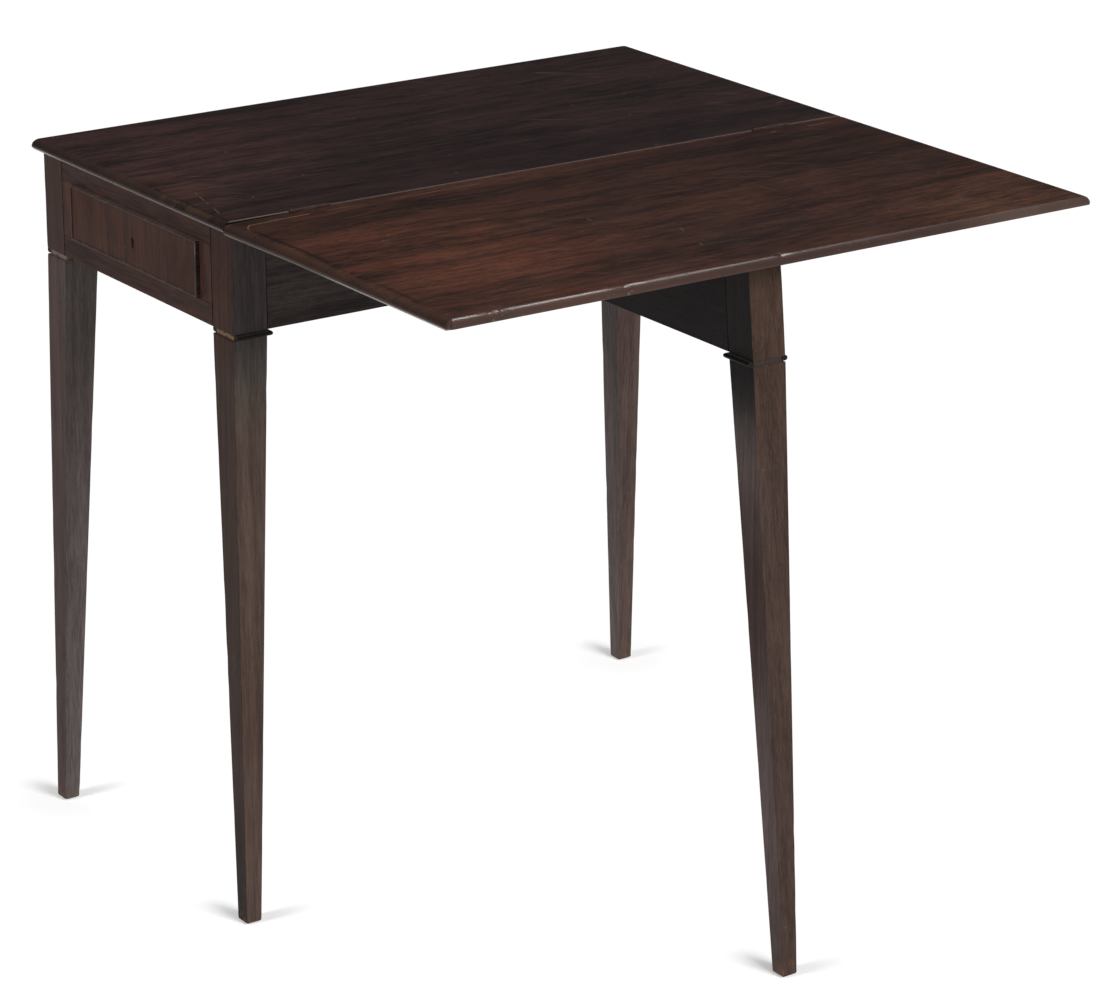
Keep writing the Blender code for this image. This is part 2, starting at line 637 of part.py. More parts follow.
def gate_rail():
    nose = arc((KNUCKLE_X, KNUCKLE_Y), ROUND, 90, 270, 10)
    far = [(GATE_RAIL_END, FRAME_FRONT), (GATE_RAIL_END, FRAME_FRONT + RAIL_THICKNESS)]
    halfway = (KNUCKLE_X + GATE_RAIL_END) / 2
    rail = piece("gate_rail", splay(knuckled_rail(nose + far), halfway), "mahogany", gate_pivot)
    tenon_x = (GATE_RAIL_END - TENON_LENGTH, GATE_RAIL_END + TENON_LENGTH)
    tenon = splay(box(*tenon_x, *FRONT_TENON_Y, *FRONT_TENON_Z))
    combine(rail, tool("gate_rail_tenon", tenon, gate_pivot), "UNION")
    mortise(gate_leg, "gate_rail_mortise", tenon_x, FRONT_TENON_Y, FRONT_TENON_Z, gate_pivot, splay)
    far_side = KNUCKLE_X + ROUND + KNUCKLE_GAP
    cut_fingers(rail, range(0, KNUCKLE_FINGERS, 2), KNUCKLE_X - ROUND - OVERCUT, far_side, gate_pivot)
    return rail


gate_leg = piece("gate_leg", splay(leg(*FRONT_RIGHT)), "mahogany", gate_pivot)
gate_rail()
collar("collar_gate", *FRONT_RIGHT, [(0, "outer")], "dark_mahogany", gate_pivot, splay)


# What the drawer runs on, between the end rails
CARRIER_X = (END_RAIL_BACK + CLEARANCE, FRAME_RIGHT - RAIL_THICKNESS - CLEARANCE)
INNER_FACE = INNER_RAIL_BACK + CLEARANCE
LEG_FACE = FRAME_BACK - LEG_BLOCK - CLEARANCE
LAP_FRONT = OPENING_FRONT + DRAWER_LINING + RUNNER_LAP
LAP_BACK = OPENING_BACK - DRAWER_LINING - RUNNER_LAP
RUNNER_Z = (OPENING_BOTTOM - RUNNER_HEIGHT, OPENING_BOTTOM)
GUIDE_Z = (OPENING_BOTTOM + CLEARANCE, OPENING_BOTTOM + GUIDE_HEIGHT)
KICKER_Z = (OPENING_TOP, FRAME_TOP)
STOP_X = (DRAWER_END + CLEARANCE, DRAWER_END + CLEARANCE + STOP_LENGTH)
STOP_Y_FRONT = (DRAWER_FRONT_SIDE, LAP_FRONT)
STOP_Y_BACK = (LAP_BACK, DRAWER_BACK_SIDE)
piece("drawer_runner_front", box(*CARRIER_X, INNER_FACE, LAP_FRONT, *RUNNER_Z), "oak")
piece("drawer_runner_back", box(*CARRIER_X, LAP_BACK, LEG_FACE, *RUNNER_Z), "oak")
piece("drawer_guide_front", box(*CARRIER_X, INNER_FACE, OPENING_FRONT, *GUIDE_Z), "oak")
piece("drawer_guide_back", box(*CARRIER_X, OPENING_BACK, LEG_FACE, *GUIDE_Z), "oak")
piece("drawer_stop_front", box(*STOP_X, *STOP_Y_FRONT, *GUIDE_Z), "oak")
piece("drawer_stop_back", box(*STOP_X, *STOP_Y_BACK, *GUIDE_Z), "oak")
kicker_front = piece("drawer_kicker_front", box(*CARRIER_X, INNER_FACE, LAP_FRONT, *KICKER_Z), "oak")
kicker_back = piece("drawer_kicker_back", box(*CARRIER_X, LAP_BACK, LEG_FACE, *KICKER_Z), "oak")


# Screws up through the kickers that hold the fixed board
def screw_stations(room):
    """Heights and radii of a countersunk screw, or of its hole when given room."""
    head = OPENING_TOP + CLEARANCE
    tip = UNDERSIDE + SCREW_BITE
    return [
        (head - (OVERCUT if room else 0.0), SCREW_HEAD + room),
        (head, SCREW_HEAD + room),
        (head + SCREW_HEAD_HEIGHT, SCREW_SHANK + room),
        (tip - SCREW_POINT, SCREW_SHANK + room),
        (tip + room, SCREW_SHANK / 4 + room),
    ][0 if room else 1:]


SCREW_PLACES = [
    (kicker, x, (y0 + y1) / 2)
    for kicker, y0, y1 in ((kicker_front, INNER_FACE, LAP_FRONT), (kicker_back, LAP_BACK, LEG_FACE))
    for x in (FRAME_LEFT + SCREW_FROM_END, FRAME_RIGHT - SCREW_FROM_END)
]
for number, (kicker, x, y) in enumerate(SCREW_PLACES, 1):
    hole = tool(f"top_screw_hole_{number}", rod(x, y, screw_stations(CLEARANCE), 12))
    combine(kicker, hole)
    combine(fixed_top, hole)
    piece(f"top_screw_{number}", rod(x, y, screw_stations(0.0), 12), "iron")


# The drawer
drawer_pivot = pivot("drawer_slide", (FRAME_LEFT, LOCK_Y, DRAWER_BOTTOM))
FRONT_FACE = FRAME_LEFT - DRAWER_PROUD
FRONT_BACK_FACE = FRAME_LEFT + DRAWER_FRONT
BEAD_INSET = BEAD_THICKNESS + CLEARANCE
SIDE_TOP = DRAWER_TOP - DRAWER_SIDE_DROP
SIDES = {
    "front": (DRAWER_FRONT_SIDE, DRAWER_FRONT_SIDE + DRAWER_LINING),
    "back": (DRAWER_BACK_SIDE - DRAWER_LINING, DRAWER_BACK_SIDE),
}


def drawer_front():
    """Stands a little proud of the end rails, and is rebated round its face for the beads."""
    full = (DRAWER_FRONT_SIDE, DRAWER_BACK_SIDE, DRAWER_BOTTOM, DRAWER_TOP)
    face = tuple(edge + sign * BEAD_INSET for edge, sign in zip(full, (1, -1, 1, -1)))
    ledge = FRAME_LEFT + BEAD_DEPTH + CLEARANCE
    sections = [(FRONT_FACE, face), (ledge, face), (ledge, full), (FRONT_BACK_FACE, full)]
    made = loft([rect_x(x, *edges) for x, edges in sections])
    return piece("drawer_front", made, "mahogany", drawer_pivot)


def bead(name, y0, y1, z0, z1):
    """A strip round the drawer's face, its nose rounded along its length."""
    made = box(FRONT_FACE - BEAD_PROUD, FRAME_LEFT + BEAD_DEPTH, y0, y1, z0, z1)
    long_axis = 1 if y1 - y0 > z1 - z0 else 2
    nose = [
        edge
        for edge in made.edges
        if max(vert.co.x for vert in edge.verts) < FRAME_LEFT
        and abs(edge.verts[0].co[long_axis] - edge.verts[1].co[long_axis]) > BEAD_THICKNESS
    ]
    round_by = 0.4 * BEAD_THICKNESS
    bmesh.ops.bevel(made, geom=nose, offset=round_by, segments=2, profile=0.5, affect="EDGES")
    return piece(name, made, "dark_mahogany", drawer_pivot)


def tail_outline(number, base, tip, room=0.0):
    """One dovetail in X and Z, from its base to its wider tip, grown by room on its flanks."""
    pitch = (SIDE_TOP - DRAWER_BOTTOM) / TAIL_COUNT
    middle = DRAWER_BOTTOM + (number + 0.5) * pitch
    half_base = TAIL_SHARE * pitch / 2 + room
    half_tip = half_base + abs(base - tip) * math.tan(TAIL_FLARE)
    return [
        (base, middle - half_base),
        (tip, middle - half_tip),
        (tip, middle + half_tip),
        (base, middle + half_base),
    ]


def drawer_side(word, y0, y1):
    """A lining with dovetails that lap into the back of the front."""
    base = FRONT_BACK_FACE + CLEARANCE
    tip = FRONT_BACK_FACE - TAIL_LENGTH
    outline = [(DRAWER_END, SIDE_TOP), (DRAWER_END, DRAWER_BOTTOM), (base, DRAWER_BOTTOM)]
    for number in range(TAIL_COUNT):
        outline += tail_outline(number, base, tip)
    outline.append((base, SIDE_TOP))
    made = loft([[(x, y, z) for x, z in outline] for y in (y0, y1)])
    side = piece("drawer_side_" + word, made, "oak", drawer_pivot)
    inner, outer = (y1 + CLEARANCE, y0 - OVERCUT) if word == "front" else (y0 - CLEARANCE, y1 + OVERCUT)
    sockets = bmesh.new()
    for number in range(TAIL_COUNT):
        socket = tail_outline(number, base + OVERCUT, tip - CLEARANCE, CLEARANCE)
        loft([[(x, y, z) for x, z in socket] for y in (inner, outer)], sockets)
    combine(front, tool(f"drawer_{word}_sockets", sockets, drawer_pivot))
    return side


front = drawer_front()
sides = [drawer_side(word, *ends) for word, ends in SIDES.items()]
INSIDE_Y = (SIDES["front"][1], SIDES["back"][0])

FLOOR_ENDS = (FRONT_BACK_FACE - FLOOR_GROOVE, DRAWER_END)
FLOOR_Y = (INSIDE_Y[0] - FLOOR_GROOVE, INSIDE_Y[1] + FLOOR_GROOVE)
piece("drawer_bottom", box(*FLOOR_ENDS, *FLOOR_Y, FLOOR_BOTTOM, FLOOR_TOP), "oak", drawer_pivot)
for solid in (front, *sides):
    reach = (FLOOR_ENDS[0], DRAWER_END + OVERCUT)
    mortise(solid, solid.name + "_groove", reach, FLOOR_Y, (FLOOR_BOTTOM, FLOOR_TOP), drawer_pivot)

BACK_X = (DRAWER_END - DRAWER_LINING, DRAWER_END)
BACK_Y = (INSIDE_Y[0] - BACK_HOUSING, INSIDE_Y[1] + BACK_HOUSING)
BACK_Z = (FLOOR_TOP + CLEARANCE, SIDE_TOP - DRAWER_BACK_DROP)
piece("drawer_back", box(*BACK_X, *BACK_Y, *BACK_Z), "oak", drawer_pivot)
for solid in sides:
    behind = (BACK_X[0], DRAWER_END + OVERCUT)
    above = (BACK_Z[0], SIDE_TOP + OVERCUT)
    mortise(solid, solid.name + "_housing", behind, BACK_Y, above, drawer_pivot)

LEVEL = (DRAWER_FRONT_SIDE, DRAWER_BACK_SIDE)
bead("drawer_bead_top", *LEVEL, DRAWER_TOP - BEAD_THICKNESS, DRAWER_TOP)
bead("drawer_bead_bottom", *LEVEL, DRAWER_BOTTOM, DRAWER_BOTTOM + BEAD_THICKNESS)
UPRIGHT = (DRAWER_BOTTOM + BEAD_INSET, DRAWER_TOP - BEAD_INSET)
bead("drawer_bead_front", DRAWER_FRONT_SIDE, DRAWER_FRONT_SIDE + BEAD_THICKNESS, *UPRIGHT)
bead("drawer_bead_back", DRAWER_BACK_SIDE - BEAD_THICKNESS, DRAWER_BACK_SIDE, *UPRIGHT)


# The lock, let into the back of the drawer's front
def keyhole(x0, x1, wall):
    """A keyhole's shape along X, grown by a wall."""
    radius = KEYHOLE_RADIUS + wall
    half = KEYHOLE_SLOT / 2 + wall
    dip = math.degrees(math.asin(half / radius))
    rim = arc((LOCK_Y, KEYHOLE_Z), radius, dip - 90, 270 - dip, 14)
    foot = KEYHOLE_Z - KEYHOLE_DROP - wall
    outline = rim + [(LOCK_Y - half, foot), (LOCK_Y + half, foot)]
    return loft([[(x, y, z) for y, z in outline] for x in (x0, x1)])


LOCK_X = (FRONT_BACK_FACE - LOCK_DEPTH, FRONT_BACK_FACE)
LOCK_SIDES = (LOCK_Y - LOCK_WIDTH / 2, LOCK_Y + LOCK_WIDTH / 2)
LOCK_Z = (DRAWER_TOP - LOCK_HEIGHT, DRAWER_TOP)
BOLT_X = (FRAME_LEFT + BOLT_BEHIND_FACE, FRAME_LEFT + BOLT_BEHIND_FACE + BOLT_DEPTH)
BOLT_Y = (LOCK_Y - BOLT_WIDTH / 2, LOCK_Y + BOLT_WIDTH / 2)
BOLT_Z = (DRAWER_TOP - BOLT_SUNK - BOLT_HEIGHT, DRAWER_TOP - BOLT_SUNK)

lock_case = piece("lock_case", box(*LOCK_X, *LOCK_SIDES, *LOCK_Z), "brass", drawer_pivot)
RECESS_X = (LOCK_X[0], LOCK_X[1] + OVERCUT)
RECESS_Z = (LOCK_Z[0], LOCK_Z[1] + OVERCUT)
mortise(front, "lock_recess", RECESS_X, LOCK_SIDES, RECESS_Z, drawer_pivot)
mortise(lock_case, "bolt_channel", BOLT_X, BOLT_Y, (BOLT_Z[0], DRAWER_TOP + OVERCUT), drawer_pivot)
KEEPER_Z = (OPENING_TOP - OVERCUT, BOLT_Z[1] + BOLT_TRAVEL)
mortise(drawer_upper_rail, "bolt_keeper", BOLT_X, BOLT_Y, KEEPER_Z)

LINER_END = FRONT_FACE + LINER_DEPTH
liner = piece("keyhole_liner", keyhole(FRONT_FACE, LINER_END, LINER_WALL), "brass", drawer_pivot)
seat = keyhole(FRONT_FACE - OVERCUT, LINER_END + CLEARANCE, LINER_WALL + CLEARANCE)
combine(front, tool("keyhole_seat", seat, drawer_pivot))
KEY_REACH = LOCK_X[0] + LOCK_DEPTH / 3
way = tool("keyhole_way", keyhole(FRONT_FACE - 2 * OVERCUT, KEY_REACH, 0.0), drawer_pivot)
for solid in (liner, front, lock_case):
    combine(solid, way)

bolt_pivot = pivot("bolt_slide", (BOLT_X[0], LOCK_Y, BOLT_Z[0]))
piece("lock_bolt", box(*BOLT_X, *BOLT_Y, *BOLT_Z), "iron", bolt_pivot)
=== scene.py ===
# %% [markdown]
# # A fold-over table in old mahogany
# This lesson dresses a finished solid model of a fold-over table. The solids already have every joint in
# the right place, so nothing here moves them. Each wooden piece is copied from its solid, its edges are
# eased the way two centuries of dusting ease them, and it gets a wood that is grown from noise alone.
# All sizes are in metres: +X runs along the table away from the drawer, +Y to the back and +Z up.

# %% Load the solids
import json
import math
from collections import namedtuple

import bmesh
import bpy
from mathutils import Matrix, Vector, noise


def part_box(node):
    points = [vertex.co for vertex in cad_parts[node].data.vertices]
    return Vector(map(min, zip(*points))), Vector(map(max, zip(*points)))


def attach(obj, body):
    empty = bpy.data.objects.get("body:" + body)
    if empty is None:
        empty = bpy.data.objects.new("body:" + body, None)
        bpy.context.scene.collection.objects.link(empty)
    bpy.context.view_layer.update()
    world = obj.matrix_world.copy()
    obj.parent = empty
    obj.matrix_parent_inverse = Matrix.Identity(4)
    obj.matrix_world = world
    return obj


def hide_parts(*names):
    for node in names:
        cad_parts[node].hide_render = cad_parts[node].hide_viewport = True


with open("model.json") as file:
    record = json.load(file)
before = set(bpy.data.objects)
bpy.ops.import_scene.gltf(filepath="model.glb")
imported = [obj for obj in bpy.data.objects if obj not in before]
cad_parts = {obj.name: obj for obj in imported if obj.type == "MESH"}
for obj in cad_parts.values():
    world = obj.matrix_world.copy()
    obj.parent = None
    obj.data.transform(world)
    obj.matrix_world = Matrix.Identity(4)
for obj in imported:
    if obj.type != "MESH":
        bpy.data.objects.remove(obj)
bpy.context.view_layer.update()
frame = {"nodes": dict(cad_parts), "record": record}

# %% [markdown]
# ## Camera
# The picture was taken from the drawer end, a little above the table, with a long lens that keeps the legs
# nearly parallel. A camera could be placed by hand and nudged, but it is easier to say it as a photographer
# would: how far round, how high, how far away, and what it points at.

# %% Camera
ROUND_BY, RAISED_BY = math.radians(-34.41), math.radians(19.27)
STAND_OFF = 4.3
AIMED_AT = Vector((0.0030, 0.0026, 0.3711))
LENS_MM = 138.3

towards_camera = Vector((
    math.sin(ROUND_BY) * math.cos(RAISED_BY),
    -math.cos(ROUND_BY) * math.cos(RAISED_BY),
    math.sin(RAISED_BY),
))
camera = bpy.data.objects.new("camera", bpy.data.cameras.new("camera"))
camera.data.lens = LENS_MM
camera.location = AIMED_AT + STAND_OFF * towards_camera
camera.rotation_euler = (-towards_camera).to_track_quat("-Z", "Y").to_euler()
bpy.context.scene.collection.objects.link(camera)
bpy.context.scene.camera = camera
bpy.context.scene.view_settings.view_transform = "Standard"
print("camera at", [round(x, 3) for x in camera.location])

# %% [markdown]
# ## Shader helpers
# A material is a small network. A few helpers keep the cells short: one adds a node and fills its sockets,
# two do sums, one fades a value smoothly between two limits, and one lays a colour over another.


# %% Shader helpers
def put(tree, kind, sockets=None, **settings):
    """Adds a node. A socket takes a plain value, or a link where it is given another node's output."""
    made = tree.nodes.new(kind)
    for name, value in settings.items():
        setattr(made, name, value)
    for key, value in (sockets or {}).items():
        if isinstance(value, bpy.types.NodeSocket):
            tree.links.new(value, made.inputs[key])
        else:
            made.inputs[key].default_value = value
    return made


def sum_of(tree, operation, *values, clamp=False):
    """One sum, such as ADD or MULTIPLY, of plain values or other nodes' outputs."""
    settings = {"operation": operation, "use_clamp": clamp}
    return put(tree, "ShaderNodeMath", dict(enumerate(values)), **settings).outputs[0]


def vector_sum(tree, operation, *values):
    """One sum of vectors, which gives a vector, or a plain value for a length or a product."""
    made = put(tree, "ShaderNodeVectorMath", dict(enumerate(values)), operation=operation)
    return made.outputs["Value" if operation in ("DOT_PRODUCT", "LENGTH") else "Vector"]


def fade(tree, value, start, end):
    """0 at start and 1 at end, smooth between them. Start may be the larger one."""
    limits = {"Value": value, "From Min": start, "From Max": end}
    return put(tree, "ShaderNodeMapRange", limits, interpolation_type="SMOOTHSTEP").outputs[0]


def tinted(tree, share, under, over, way="MIX"):
    """One colour over another, by a share."""
    sockets = {0: share, 6: under, 7: over}
    return put(tree, "ShaderNodeMix", sockets, data_type="RGBA", blend_type=way).outputs[2]


def new_material(name):
    """An empty material, its node tree and its shader."""
    material = bpy.data.materials.new(name)
    material.use_nodes = True
    tree = material.node_tree
    return material, tree, tree.nodes["Principled BSDF"]


# %% [markdown]
# ## Studio
# Two low windows light the table, one at its drawer end and one on its gate side, so that the open leaf keeps
# the frieze below it in shade. Weak fills stand low at the front and behind. A small lamp high at the back is
# there for one thing only: its reflection runs along the rounded front edge of the leaf. The room is dim to
# the table, so that its polish stays dark, and white to the camera.

# %% Studio lamps
Lamp = namedtuple("Lamp", "name place aim width watts mirrored shadows")
LAMPS = (
    Lamp("drawer_end_window", (-4.5, 0.3, 2.55), (0.0, 0.0, 0.5), 1.0, 100.0, False, True),
    Lamp("gate_side_window", (0.6, -4.3, 2.75), (0.0, 0.0, 0.5), 2.0, 206.0, False, True),
    Lamp("low_fill", (1.0, -4.0, 0.45), (0.0, 0.0, 0.4), 1.2, 36.0, False, True),
    Lamp("edge_lamp", (0.86, 0.55, 2.53), (-0.3, -0.38, 0.72), 0.6, 17.0, True, False),
    Lamp("back_fill", (2.6, 3.4, 0.85), (0.0, 0.0, 0.5), 1.6, 75.0, False, False),
)

for lamp in LAMPS:
    light = bpy.data.lights.new(lamp.name, "AREA")
    light.size, light.energy, light.use_shadow = lamp.width, lamp.watts, lamp.shadows
    box = bpy.data.objects.new(lamp.name, light)
    box.location = lamp.place
    box.rotation_euler = (Vector(lamp.aim) - Vector(lamp.place)).to_track_quat("-Z", "Y").to_euler()
    box.visible_glossy = lamp.mirrored
    bpy.context.scene.collection.objects.link(box)
    print(lamp.name, lamp.watts, "W")

DIM_ROOM = 0.04
world = bpy.data.worlds.new("dim_room")
world.use_nodes = True
room = world.node_tree
seen = put(room, "ShaderNodeLightPath").outputs["Is Camera Ray"]
room.nodes["Background"].inputs["Color"].default_value = (1.0, 1.0, 1.0, 1.0)
room.links.new(sum_of(room, "MAXIMUM", seen, DIM_ROOM), room.nodes["Background"].inputs["Strength"])
bpy.context.scene.world = world

# %% [markdown]
# ## Floor
# The table stands on a plain white floor. Seamless paper would do, but it goes grey where the lamps fall off.
# So the floor glows white by itself, except close to each foot. There it takes its light from the lamps, so
# that the foot keeps its soft shadow. What a lamp gives at a place is known: its power over the cube of the
# distance, times its height. The floor's tone there is one over the sum of them all, so it is white too. To
# the table itself the floor is a darker grey, so that it doesn't fill the shade under the leaf.

# %% Floor
FLOOR_TONE, WHITE_SUM = 0.32, 1.03
FLOOR_REACH = 30.0
MIRRORED_GLOW = 0.42
NEAR_FOOT, OFF_FOOT = 0.02, 0.085
FEET = [mount["pos_m"] for mount in frame["record"]["mounts"] if mount["name"].startswith("foot_")]

floor_sheet = bmesh.new()
bmesh.ops.create_grid(floor_sheet, x_segments=4, y_segments=4, size=FLOOR_REACH)
floor_mesh = bpy.data.meshes.new("floor")
floor_sheet.to_mesh(floor_mesh)
floor_sheet.free()
floor = bpy.data.objects.new("floor", floor_mesh)
bpy.context.scene.collection.objects.link(floor)

white, tree, shader = new_material("white_floor")
shader.inputs["Roughness"].default_value = 1.0
shader.inputs["Specular IOR Level"].default_value = 0.0
rays = put(tree, "ShaderNodeLightPath").outputs
place = put(tree, "ShaderNodeTexCoord").outputs["Object"]


def distance_to(point):
    """How far each place on the floor is from a point."""
    return vector_sum(tree, "LENGTH", vector_sum(tree, "SUBTRACT", place, point))


nearest = OFF_FOOT
for foot in FEET:
    nearest = sum_of(tree, "MINIMUM", distance_to(foot), nearest)
near = fade(tree, nearest, OFF_FOOT, NEAR_FOOT)
lit = 0.0
for lamp in LAMPS:
    reach = sum_of(tree, "POWER", distance_to(lamp.place), 3.0)
    lit = sum_of(tree, "ADD", sum_of(tree, "DIVIDE", lamp.watts * lamp.place[2] / math.pi ** 2, reach), lit)
seen_tone = sum_of(tree, "DIVIDE", sum_of(tree, "MULTIPLY", near, WHITE_SUM), lit)
top_up = sum_of(tree, "MULTIPLY_ADD", near, -WHITE_SUM, WHITE_SUM)
top_up = sum_of(tree, "MULTIPLY", top_up, rays["Is Camera Ray"])
glow = sum_of(tree, "MULTIPLY_ADD", rays["Is Glossy Ray"], MIRRORED_GLOW, top_up)
grey = put(tree, "ShaderNodeCombineColor", {0: seen_tone, 1: seen_tone, 2: seen_tone}).outputs[0]
to_the_table = (FLOOR_TONE, FLOOR_TONE, FLOOR_TONE, 1.0)
tree.links.new(tinted(tree, rays["Is Camera Ray"], to_the_table, grey), shader.inputs["Base Color"])
emission = put(tree, "ShaderNodeEmission", {"Strength": glow})
both = put(tree, "ShaderNodeAddShader", {0: shader.outputs[0], 1: emission.outputs[0]})
tree.links.new(both.outputs[0], tree.nodes["Material Output"].inputs["Surface"])
floor.data.materials.append(white)
print("floor:", len(tree.nodes), "nodes")

# %% [markdown]
# ## Wood figure
# Mahogany has broad dark and light bands, fine fibres, and short dark pores, all drawn out along the grain,
# and a cloudy change of tone over a whole board. Photographs of wood could be wrapped on, but noise that is
# stretched along one axis gives the same marks at any size. The group takes coordinates in which the grain
# runs along X, so that one Mapping node can turn it for a leg, a rail or a drawer front.


# %% Wood figure
def new_group(name, takes, gives):
    """An empty node group with named sockets, given as pairs of a name and a kind."""
    group = bpy.data.node_groups.new(name, "ShaderNodeTree")
    for label, kind in takes:
        group.interface.new_socket(label, in_out="INPUT", socket_type="NodeSocket" + kind)
    for label, kind in gives:
        group.interface.new_socket(label, in_out="OUTPUT", socket_type="NodeSocket" + kind)
    return group, group.nodes.new("NodeGroupInput").outputs, group.nodes.new("NodeGroupOutput").inputs


def drawn_noise(tree, vector, stretch, detail=3.0, distortion=0.0, coarse=0.5):
    """Noise with its own count of marks per metre along each axis. Coarse strengthens the finest marks."""
    scaled = put(tree, "ShaderNodeMapping", {"Vector": vector, "Scale": stretch}, vector_type="POINT")
    sockets = {"Vector": scaled.outputs[0], "Scale": 1.0, "Detail": detail}
    sockets.update({"Distortion": distortion, "Roughness": coarse})
    return put(tree, "ShaderNodeTexNoise", sockets).outputs["Fac"]


Marks = namedtuple("Marks", "stretch detail distortion coarse start end")
WOOD_MARKS = {
    "Band": Marks((2.2, 70.0, 70.0), 4.0, 0.1, 0.5, 0.35, 0.65),
    "Fleck": Marks((26.0, 360.0, 360.0), 5.0, 0.0, 0.68, 0.38, 0.62),
    "Pore": Marks((80.0, 800.0, 800.0), 1.0, 0.0, 0.5, 0.56, 0.70),
    "Cloud": Marks((6.0, 16.0, 16.0), 3.0, 0.0, 0.5, 0.3, 0.7),
}
WANDER = 0.015

figure, takes, gives = new_group(
    "wood_figure",
    [("Vector", "Vector")],
    [(label, "Float") for label in WOOD_MARKS],
)
wandering = drawn_noise(figure, takes["Vector"], (4.0, 12.0, 12.0), 2.0)
wander = put(figure, "ShaderNodeCombineXYZ", {1: sum_of(figure, "MULTIPLY", wandering, WANDER)}).outputs[0]
bent = vector_sum(figure, "ADD", takes["Vector"], wander)
for label, marks in WOOD_MARKS.items():
    drawn = drawn_noise(figure, bent, marks.stretch, marks.detail, marks.distortion, marks.coarse)
    figure.links.new(fade(figure, drawn, marks.start, marks.end), gives[label])
print("wood figure:", len(figure.nodes), "nodes")

# %% [markdown]
# ## Age
# An old polish is never even. There are pale specks where it has chipped, hair scratches, and a dull film,
# and on every edge the polish is rubbed through in places. The edges themselves are known from the mesh:
# when an edge is eased, its new faces get the attribute "worn", and the group breaks that up with noise.

# %% Age
RUBBED_PATCHES, RUBBED_BORDER = (38.0, 38.0, 38.0), (-0.06, 0.08)
UNRUBBED, RUBBED_BY_AMOUNT = 0.72, -0.34
CHIPS_PER_METRE, KEPT_CHIPS, CHIP_BORDER = 62.0, (0.88, 0.90), (0.11, 0.05)
HAIRS, HAIR_TURN, HAIR_PLACES = (14.0, 620.0, 620.0), (0.0, 0.0, 0.6), (12.0, 12.0, 12.0)
FILM_CLOUDS = (17.0, 17.0, 17.0)

age, takes, gives = new_group(
    "old_polish",
    [("Vector", "Vector"), ("Worn", "Float"), ("Amount", "Float")],
    [("Rubbed", "Float"), ("Speck", "Float"), ("Scratch", "Float"), ("Film", "Float")],
)
patches = drawn_noise(age, takes["Vector"], RUBBED_PATCHES, 4.0)
reach = sum_of(age, "MULTIPLY_ADD", takes["Amount"], RUBBED_BY_AMOUNT, UNRUBBED)
rubbed = fade(age, sum_of(age, "SUBTRACT", patches, reach), *RUBBED_BORDER)
age.links.new(sum_of(age, "MULTIPLY", rubbed, takes["Worn"]), gives["Rubbed"])
cells = put(age, "ShaderNodeTexVoronoi", {"Vector": takes["Vector"], "Scale": CHIPS_PER_METRE})
near_centre = fade(age, cells.outputs["Distance"], *CHIP_BORDER)
picked = put(age, "ShaderNodeSeparateColor", {0: cells.outputs["Color"]}).outputs[0]
chosen = fade(age, picked, *KEPT_CHIPS)
age.links.new(sum_of(age, "MULTIPLY", near_centre, chosen), gives["Speck"])
turned = put(age, "ShaderNodeMapping", {"Vector": takes["Vector"], "Rotation": HAIR_TURN}).outputs[0]
hairs = drawn_noise(age, turned, HAIRS, 1.0)
where = fade(age, drawn_noise(age, takes["Vector"], HAIR_PLACES, 2.0), 0.54, 0.62)
age.links.new(sum_of(age, "MULTIPLY", fade(age, hairs, 0.66, 0.74), where), gives["Scratch"])
film = drawn_noise(age, takes["Vector"], FILM_CLOUDS, 5.0)
age.links.new(fade(age, film, 0.3, 0.72), gives["Film"])
print("age:", len(age.nodes), "nodes")

# %% [markdown]
# ## Mahogany
# Every mahogany piece has the same build: a dark and a light tone mixed by the bands, fibres and pores laid
# over them, then rubbed edges and specks. Only the tones, the direction of the grain and how much it has been
# handled differ, so one function makes them all. Extra marks that belong to one piece come in as layers.

# %% Mahogany
GRAIN_TURNS = {
    "x": (0.0, 0.0, 0.0),
    "y": (0.0, 0.0, math.radians(-90)),
    "z": (0.0, math.radians(90), 0.0),
}
FLECK_SHARE, BAND_SHARE, CLOUD_SHARE = 0.45, 0.37, 0.18
RUB_STRENGTH, RUB_DULLS, FRONT_DULLS, FILM_DULLS = 0.7, 0.2, 0.13, 0.06
PORE_DEPTH, FLECK_HEIGHT, RELIEF_HIGH = -0.8, 0.25, 0.0003
BARE_WOOD, DIRT, CHIP = (0.17, 0.095, 0.05), (0.007, 0.005, 0.0045), (0.30, 0.24, 0.19)


def placed_group(tree, group, **sockets):
    """A node group put to use, with its sockets filled."""
    return put(tree, "ShaderNodeGroup", sockets, node_tree=group).outputs


def from_mesh(tree, name):
    """A value that the faces of the mesh carry, such as "worn"."""
    return put(tree, "ShaderNodeAttribute", attribute_name=name).outputs["Fac"]


def along_axis(tree, place, axis):
    """One of the three parts of a place."""
    return put(tree, "ShaderNodeSeparateXYZ", {0: place}).outputs[axis]


def laid_over(tree, mask, strength, under, tone):
    """A tone over a colour, where a mask says so and as strongly as given."""
    return tinted(tree, sum_of(tree, "MULTIPLY", mask, strength), under, (*tone, 1.0))


